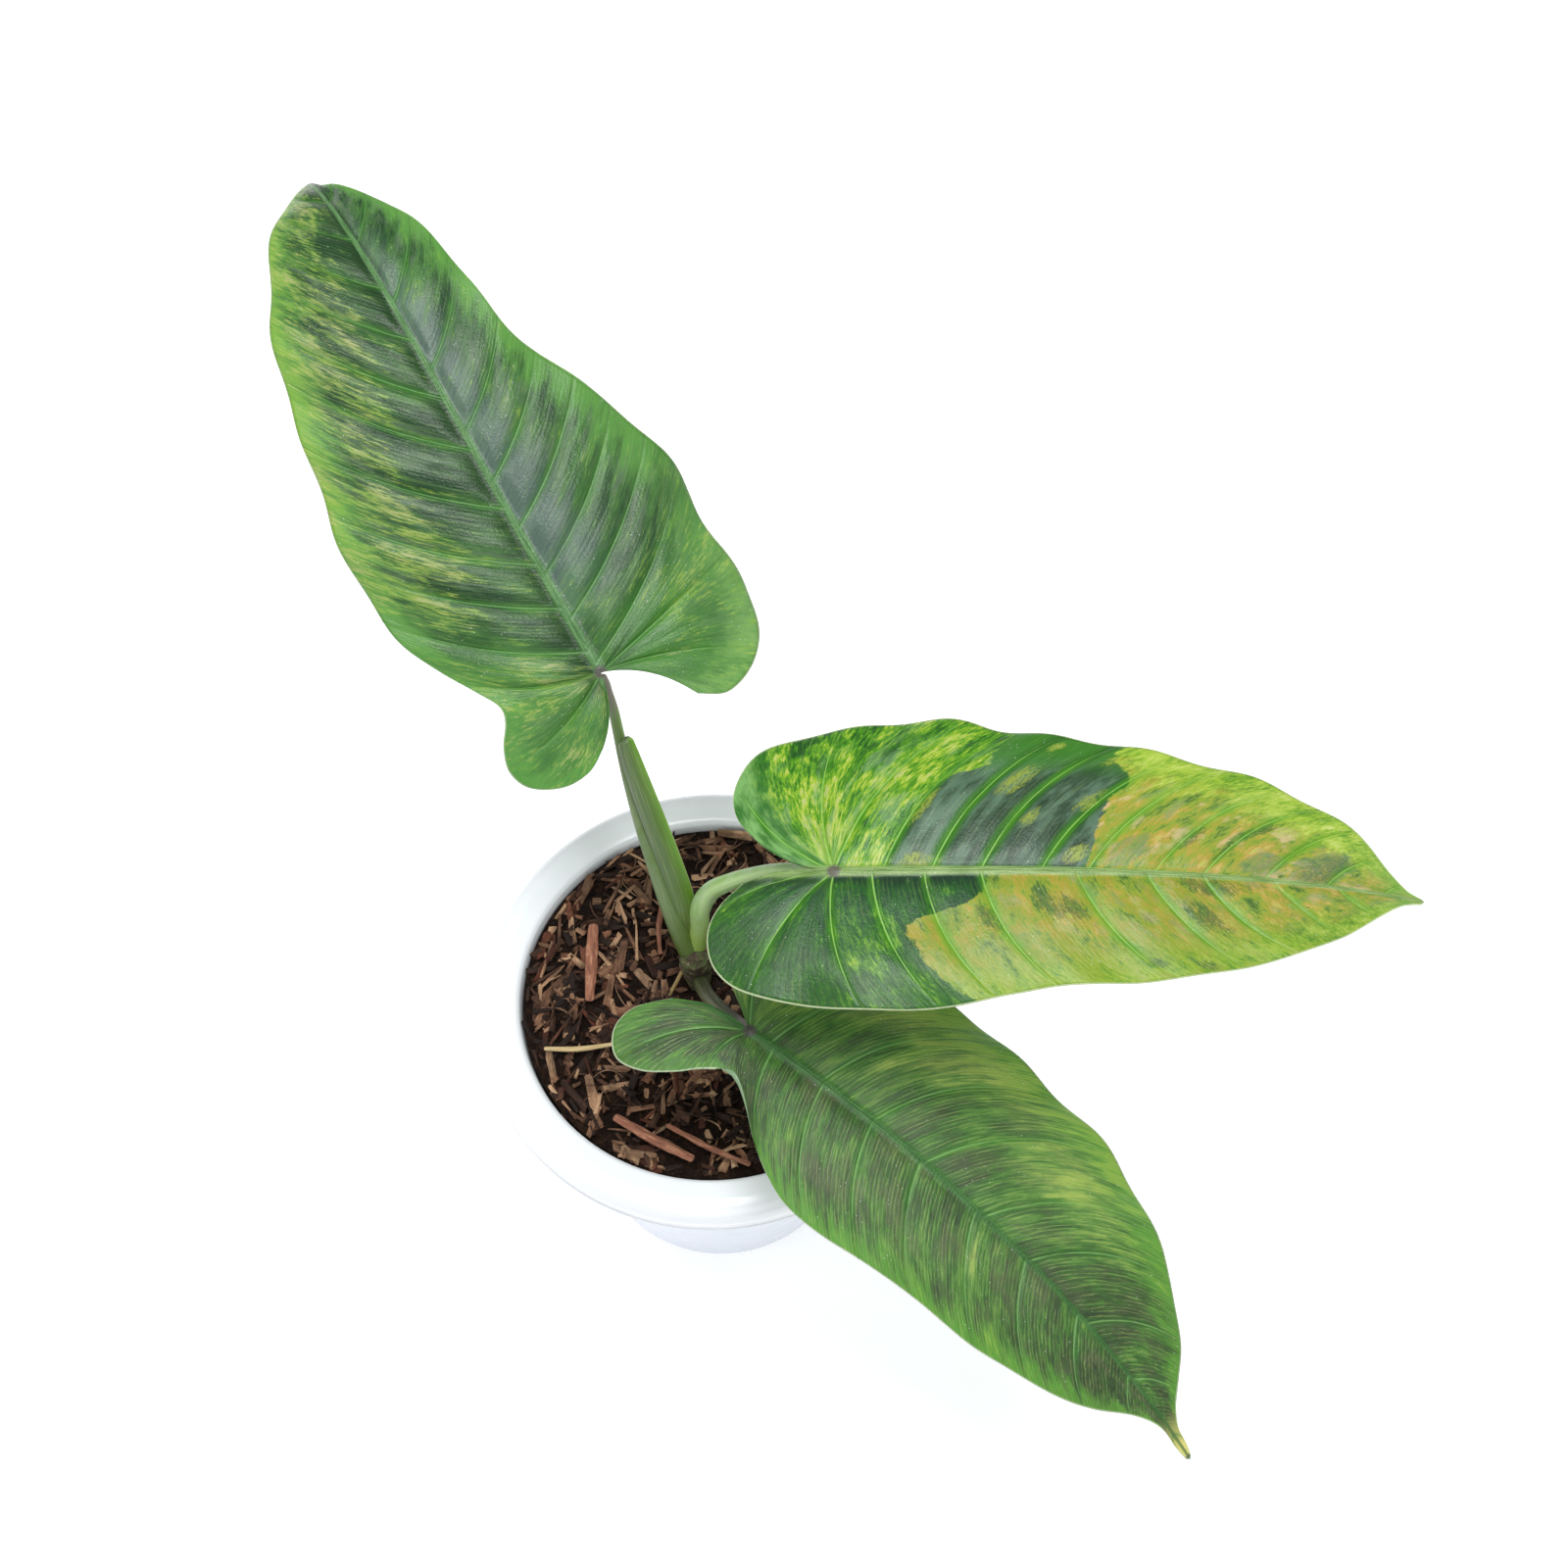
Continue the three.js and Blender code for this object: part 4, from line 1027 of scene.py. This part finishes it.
def makePot(skin):
    skirt = potInside(113) + pot["wall"]
    corners = [
        (45, 0), (46, 1.2), (skirt, 113), (skirt, 120), (70.8, 120.4), (72.2, 118), (72.2, 113),
        (74.4, 113), (74.8, 113.7), (74.2, 114.4), (75, 119), (74.1, 122.4), (71.8, 124.4), (69, 125),
        (63.1, 123.8), (61.9, 122.6), (61.5, 121), (potInside(3), 3)]
    profile = [(0, 0)]
    for before, here, after in zip([(0, 0)] + corners, corners, corners[1:] + [(0, 3)]):
        # Each corner is rounded over a third of its sides, at most cornerCut mm
        corner = Vector(here)
        ins, outs = (Vector(before) - corner), (Vector(after) - corner)
        start = corner + ins.normalized() * min(pot["cornerCut"], ins.length / 3)
        end = corner + outs.normalized() * min(pot["cornerCut"], outs.length / 3)
        for step in range(pot["roundings"] + 1):
            t = step / pot["roundings"]
            profile.append(tuple(start * (1 - t) ** 2 + corner * 2 * t * (1 - t) + end * t * t))
    profile.append((0, 3))
    bm = bmesh.new()
    turnedShape(bm, profile, pot["turns"])
    piece = finishMesh(bm, "potShell", [skin])
    cutter = bmesh.new()
    for i in range(pot["drains"]):
        angle = 2 * math.pi * (i + 0.5) / pot["drains"]
        centre = (pot["drainReach"] * math.cos(angle) * mm, pot["drainReach"] * math.sin(angle) * mm, 0.0015)
        bmesh.ops.create_cone(cutter, cap_ends=True, segments=40, radius1=pot["drainRadius"] * mm,
                              radius2=pot["drainRadius"] * mm, depth=0.01, matrix=Matrix.Translation(centre))
    holes = finishMesh(cutter, "drainHoles", [])
    cut = piece.modifiers.new("drain", "BOOLEAN")
    cut.operation = "DIFFERENCE"
    cut.object = holes
    cut.solver = "EXACT"
    evaluated = piece.evaluated_get(bpy.context.evaluated_depsgraph_get())
    mesh = bpy.data.meshes.new_from_object(evaluated)
    piece.modifiers.clear()
    piece.data = mesh
    bpy.data.objects.remove(holes)
    return piece


def potSkin(w):
    here = w.here()
    z = here.parts()[2]
    cloud, grain = here.noise(24, 3), here.noise(1400, 2)
    level = w.node("ShaderNodeVectorMath", {"operation": "MULTIPLY"}, {0: here, 1: (60, 60, 900)})
    scuff = level.noise(1, 4, 0.7)
    # Below the rim the body is painted a darker blue grey, which is painted shade; the scuffs are wear
    base = paint(
        cloud.rise(0.3, 0.7).mix((226, 229, 234), (231, 234, 238)),
        (z.rise(0.112, 0.09) * 0.5, (194, 204, 226)), (scuff.rise(0.66, 0.8) * 0.25, (206, 212, 222)))
    return {"Base Color": base, "Bump": (grain * 0.4 + cloud, 0.1, 0.0004),
            "Roughness": scuff.rise(0.4, 0.8) * 0.16 + 0.16}


addPiece(makePot(material("potSkin", potSkin)), "pot", "pot")
print("pot ready")


# Potting mix

mix = {
    "edgeHeight": 120.5,
    "mound": 3,
    "rings": 90,
    "turns": 200,
    "chips": 1350,
    "fibres": 240,
    "wallGap": 0.6,
    "bottom": 3.3,
    "stem": (-4.8, 5.4),
    "stemGap": 6,
    "chipReach": 59.5,
    "chipLengths": (2.5, 3.5, 5, 6, 8, 11),
    "chipWidths": (0.7, 2.6),
    "chipHeights": (0.5, 1.1),
    "chipLift": 0.9,
    "fibreReach": 55,
    "fibreLimit": 58.5,
    "fibreSteps": (1.2, 3.4),
    "fibreRadii": (0.12, 0.32),
    "tagStep": 0.7548776662,
    "seed": 11,
}


def soilHeight(x, y):
    return mix["edgeHeight"] + mix["mound"] * (1 - (x * x + y * y) / pot["mouth"] ** 2) \
        + 0.5 * math.sin(0.42 * x + 1) * math.cos(0.37 * y) + 0.35 * math.sin(0.83 * (x - y))


def makeMix(skin):
    edge = potInside(mix["edgeHeight"]) - mix["wallGap"]
    top = [(edge * (1 - i / mix["rings"]), mix["edgeHeight"]) for i in range(mix["rings"] + 1)]
    bm = bmesh.new()
    low = mix["bottom"]
    turnedShape(bm, [(0, low), (potInside(low) - mix["wallGap"], low)] + top, mix["turns"])
    for vert in bm.verts:
        if vert.co.z > 119 * mm:
            x, y = vert.co.x / mm, vert.co.y / mm
            fade = smooth(edge - math.hypot(x, y), 0, 3)
            crumb = 1.1 * noise.noise(Vector((x, y, 0)) * 0.45) \
                + 0.5 * noise.noise(Vector((x, y, 5)) * 1.3) - 0.7
            vert.co.z = lerp(mix["edgeHeight"], soilHeight(x, y) + crumb, fade) * mm
    return finishMesh(bm, "mixBody", [skin])


def clearOfStrips(x, y, gap):
    here = Vector((x, y))
    for name in ("barkStripLong", "barkStripFront", "barkStripThin", "barkStripBack", "straw"):
        points = [Vector(p).to_2d() for p in rods[name]["route"]]
        for a, b in zip(points, points[1:]):
            t = clamp((here - a).dot(b - a) / (b - a).length_squared)
            if (here - a.lerp(b, t)).length < gap + rods[name]["width"]:
                return False
    return True


def makeChips(skin):
    # Shredded bark laid every way over the mix, some sunk and some on top
    random.seed(mix["seed"])
    bm = bmesh.new()
    layers = [bm.loops.layers.uv.new(key) for key in ("route", "tags")]
    made = 0
    while made < mix["chips"]:
        radius = mix["chipReach"] * math.sqrt(random.random())
        angle = random.uniform(0, 2 * math.pi)
        x, y = radius * math.cos(angle), radius * math.sin(angle)
        length = random.choice(mix["chipLengths"]) * random.uniform(0.7, 1.3)
        width = random.uniform(*mix["chipWidths"]) * (1 + length * 0.04)
        height = random.uniform(*mix["chipHeights"])
        inwards = mix["chipReach"] + 1.5 - radius
        yaw = random.uniform(0, math.pi) if inwards > length / 2 \
            else angle + math.pi / 2 + random.uniform(-0.3, 0.3)
        lift = random.uniform(-mix["chipLift"], mix["chipLift"])
        tone = random.random()
        if (Vector((x, y)) - Vector(mix["stem"])).length < mix["stemGap"] + length * 0.3:
            continue
        if lift > -0.2 and not clearOfStrips(x, y, length * 0.35):
            continue
        made += 1
        turn = Matrix.Translation(Vector((x, y, soilHeight(x, y) + lift)) * mm) \
            @ Matrix.Rotation(yaw, 4, "Z") \
            @ Matrix.Rotation(random.gauss(0, 0.16), 4, "Y") \
            @ Matrix.Rotation(random.gauss(0, 0.5), 4, "X")
        cone = bmesh.ops.create_cone(bm, cap_ends=True, segments=6, radius1=0.5, radius2=0.34, depth=1)
        bend = random.uniform(-0.1, 0.1)
        marks = {}
        for vert in cone["verts"]:
            long, up, aside = vert.co.z, vert.co.x, vert.co.y
            long += random.uniform(-0.14, 0.14)
            up += random.uniform(-0.1, 0.1)
            aside += random.uniform(-0.12, 0.12) + bend * long
            marks[vert] = ((long * length / 100, aside * width / 10 + 0.5), (tone, made * mix["tagStep"] % 1))
            vert.co = turn @ (Vector((long * length, aside * width, up * height * 1.3)) * mm)
        markFaces(layers, marks)
    return finishMesh(bm, "barkChips", [skin], False)


def makeFibres(skin):
    # Thin curled shreds among the chips
    random.seed(mix["seed"] + 1)
    bm = bmesh.new()
    made = 0
    while made < mix["fibres"]:
        radius, angle = mix["fibreReach"] * math.sqrt(random.random()), random.uniform(0, 2 * math.pi)
        heading, curl = random.uniform(0, 2 * math.pi), random.uniform(-0.9, 0.9)
        step = random.uniform(*mix["fibreSteps"])
        x, y = radius * math.cos(angle), radius * math.sin(angle)
        route = []
        for i in range(5):
            route.append((x, y, soilHeight(x, y) + random.uniform(0.2, 1.3)))
            x, y = x + math.cos(heading) * step, y + math.sin(heading) * step
            heading += curl * random.uniform(0.3, 1)
        nearStem = min((Vector(p).to_2d() - Vector(mix["stem"])).length for p in route)
        if max(math.hypot(p[0], p[1]) for p in route) > mix["fibreLimit"] or nearStem < mix["stemGap"] \
                or not all(clearOfStrips(p[0], p[1], 0.5) for p in route):
            continue
        made += 1
        thick = random.uniform(*mix["fibreRadii"])
        tube(bm, route, [thick * 0.6, thick, thick, thick * 0.5], 0.8, 4, 9, tags=(random.random(), 0.5))
    bmesh.ops.remove_doubles(bm, verts=bm.verts, dist=0.000002)
    return finishMesh(bm, "barkFibres", [skin])


def mixSkin(w):
    here = w.here()
    cloud, grain = here.noise(260, 4, 0.7), here.noise(1500, 4, 0.7)
    base = (cloud * 0.5 + grain * 0.5).shade(
        (0.36, 14, 9, 7), (0.5, 32, 20, 14), (0.6, 60, 40, 27), (0.72, 98, 70, 48))
    return {"Base Color": base, "Bump": (cloud + grain, 1.0, 0.0015)}


def chipSkin(w):
    mmAlong, turn, here = rodCoords(w)
    tone, seed = w.uv("tags")
    fibre = w.vector(mmAlong * 0.25, turn * 10, seed * 40).noise(1, 4, 0.65)
    grain = here.noise(1600, 4, 0.7)
    base = (tone * 0.62 + fibre * 0.4 + grain * 0.25 - 0.12).shade(
        (0.14, 20, 13, 10), (0.36, 40, 26, 19), (0.52, 74, 49, 36), (0.66, 122, 88, 66),
        (0.82, 176, 140, 108), (0.96, 214, 186, 156))
    # Some are redder, some damp
    base = paint(base, (seed.rise(0.75, 0.95) * 0.4, (112, 56, 36)),
                 (here.noise(90, 2).rise(0.56, 0.42) * 0.5, (30, 20, 15)))
    return {"Base Color": base, "Bump": (fibre + grain * 0.5, 0.9, 0.0006)}


soil = material("mixSkin", mixSkin, Roughness=0.95, Specular_IOR_Level=0.15)
chips = material("chipSkin", chipSkin, Roughness=0.8, Specular_IOR_Level=0.25)
addPiece(makeMix(soil), "potting_mix", "potting_mix")
addPiece(makeChips(chips), "potting_mix")
addPiece(makeFibres(chips), "potting_mix")
print("mix ready")
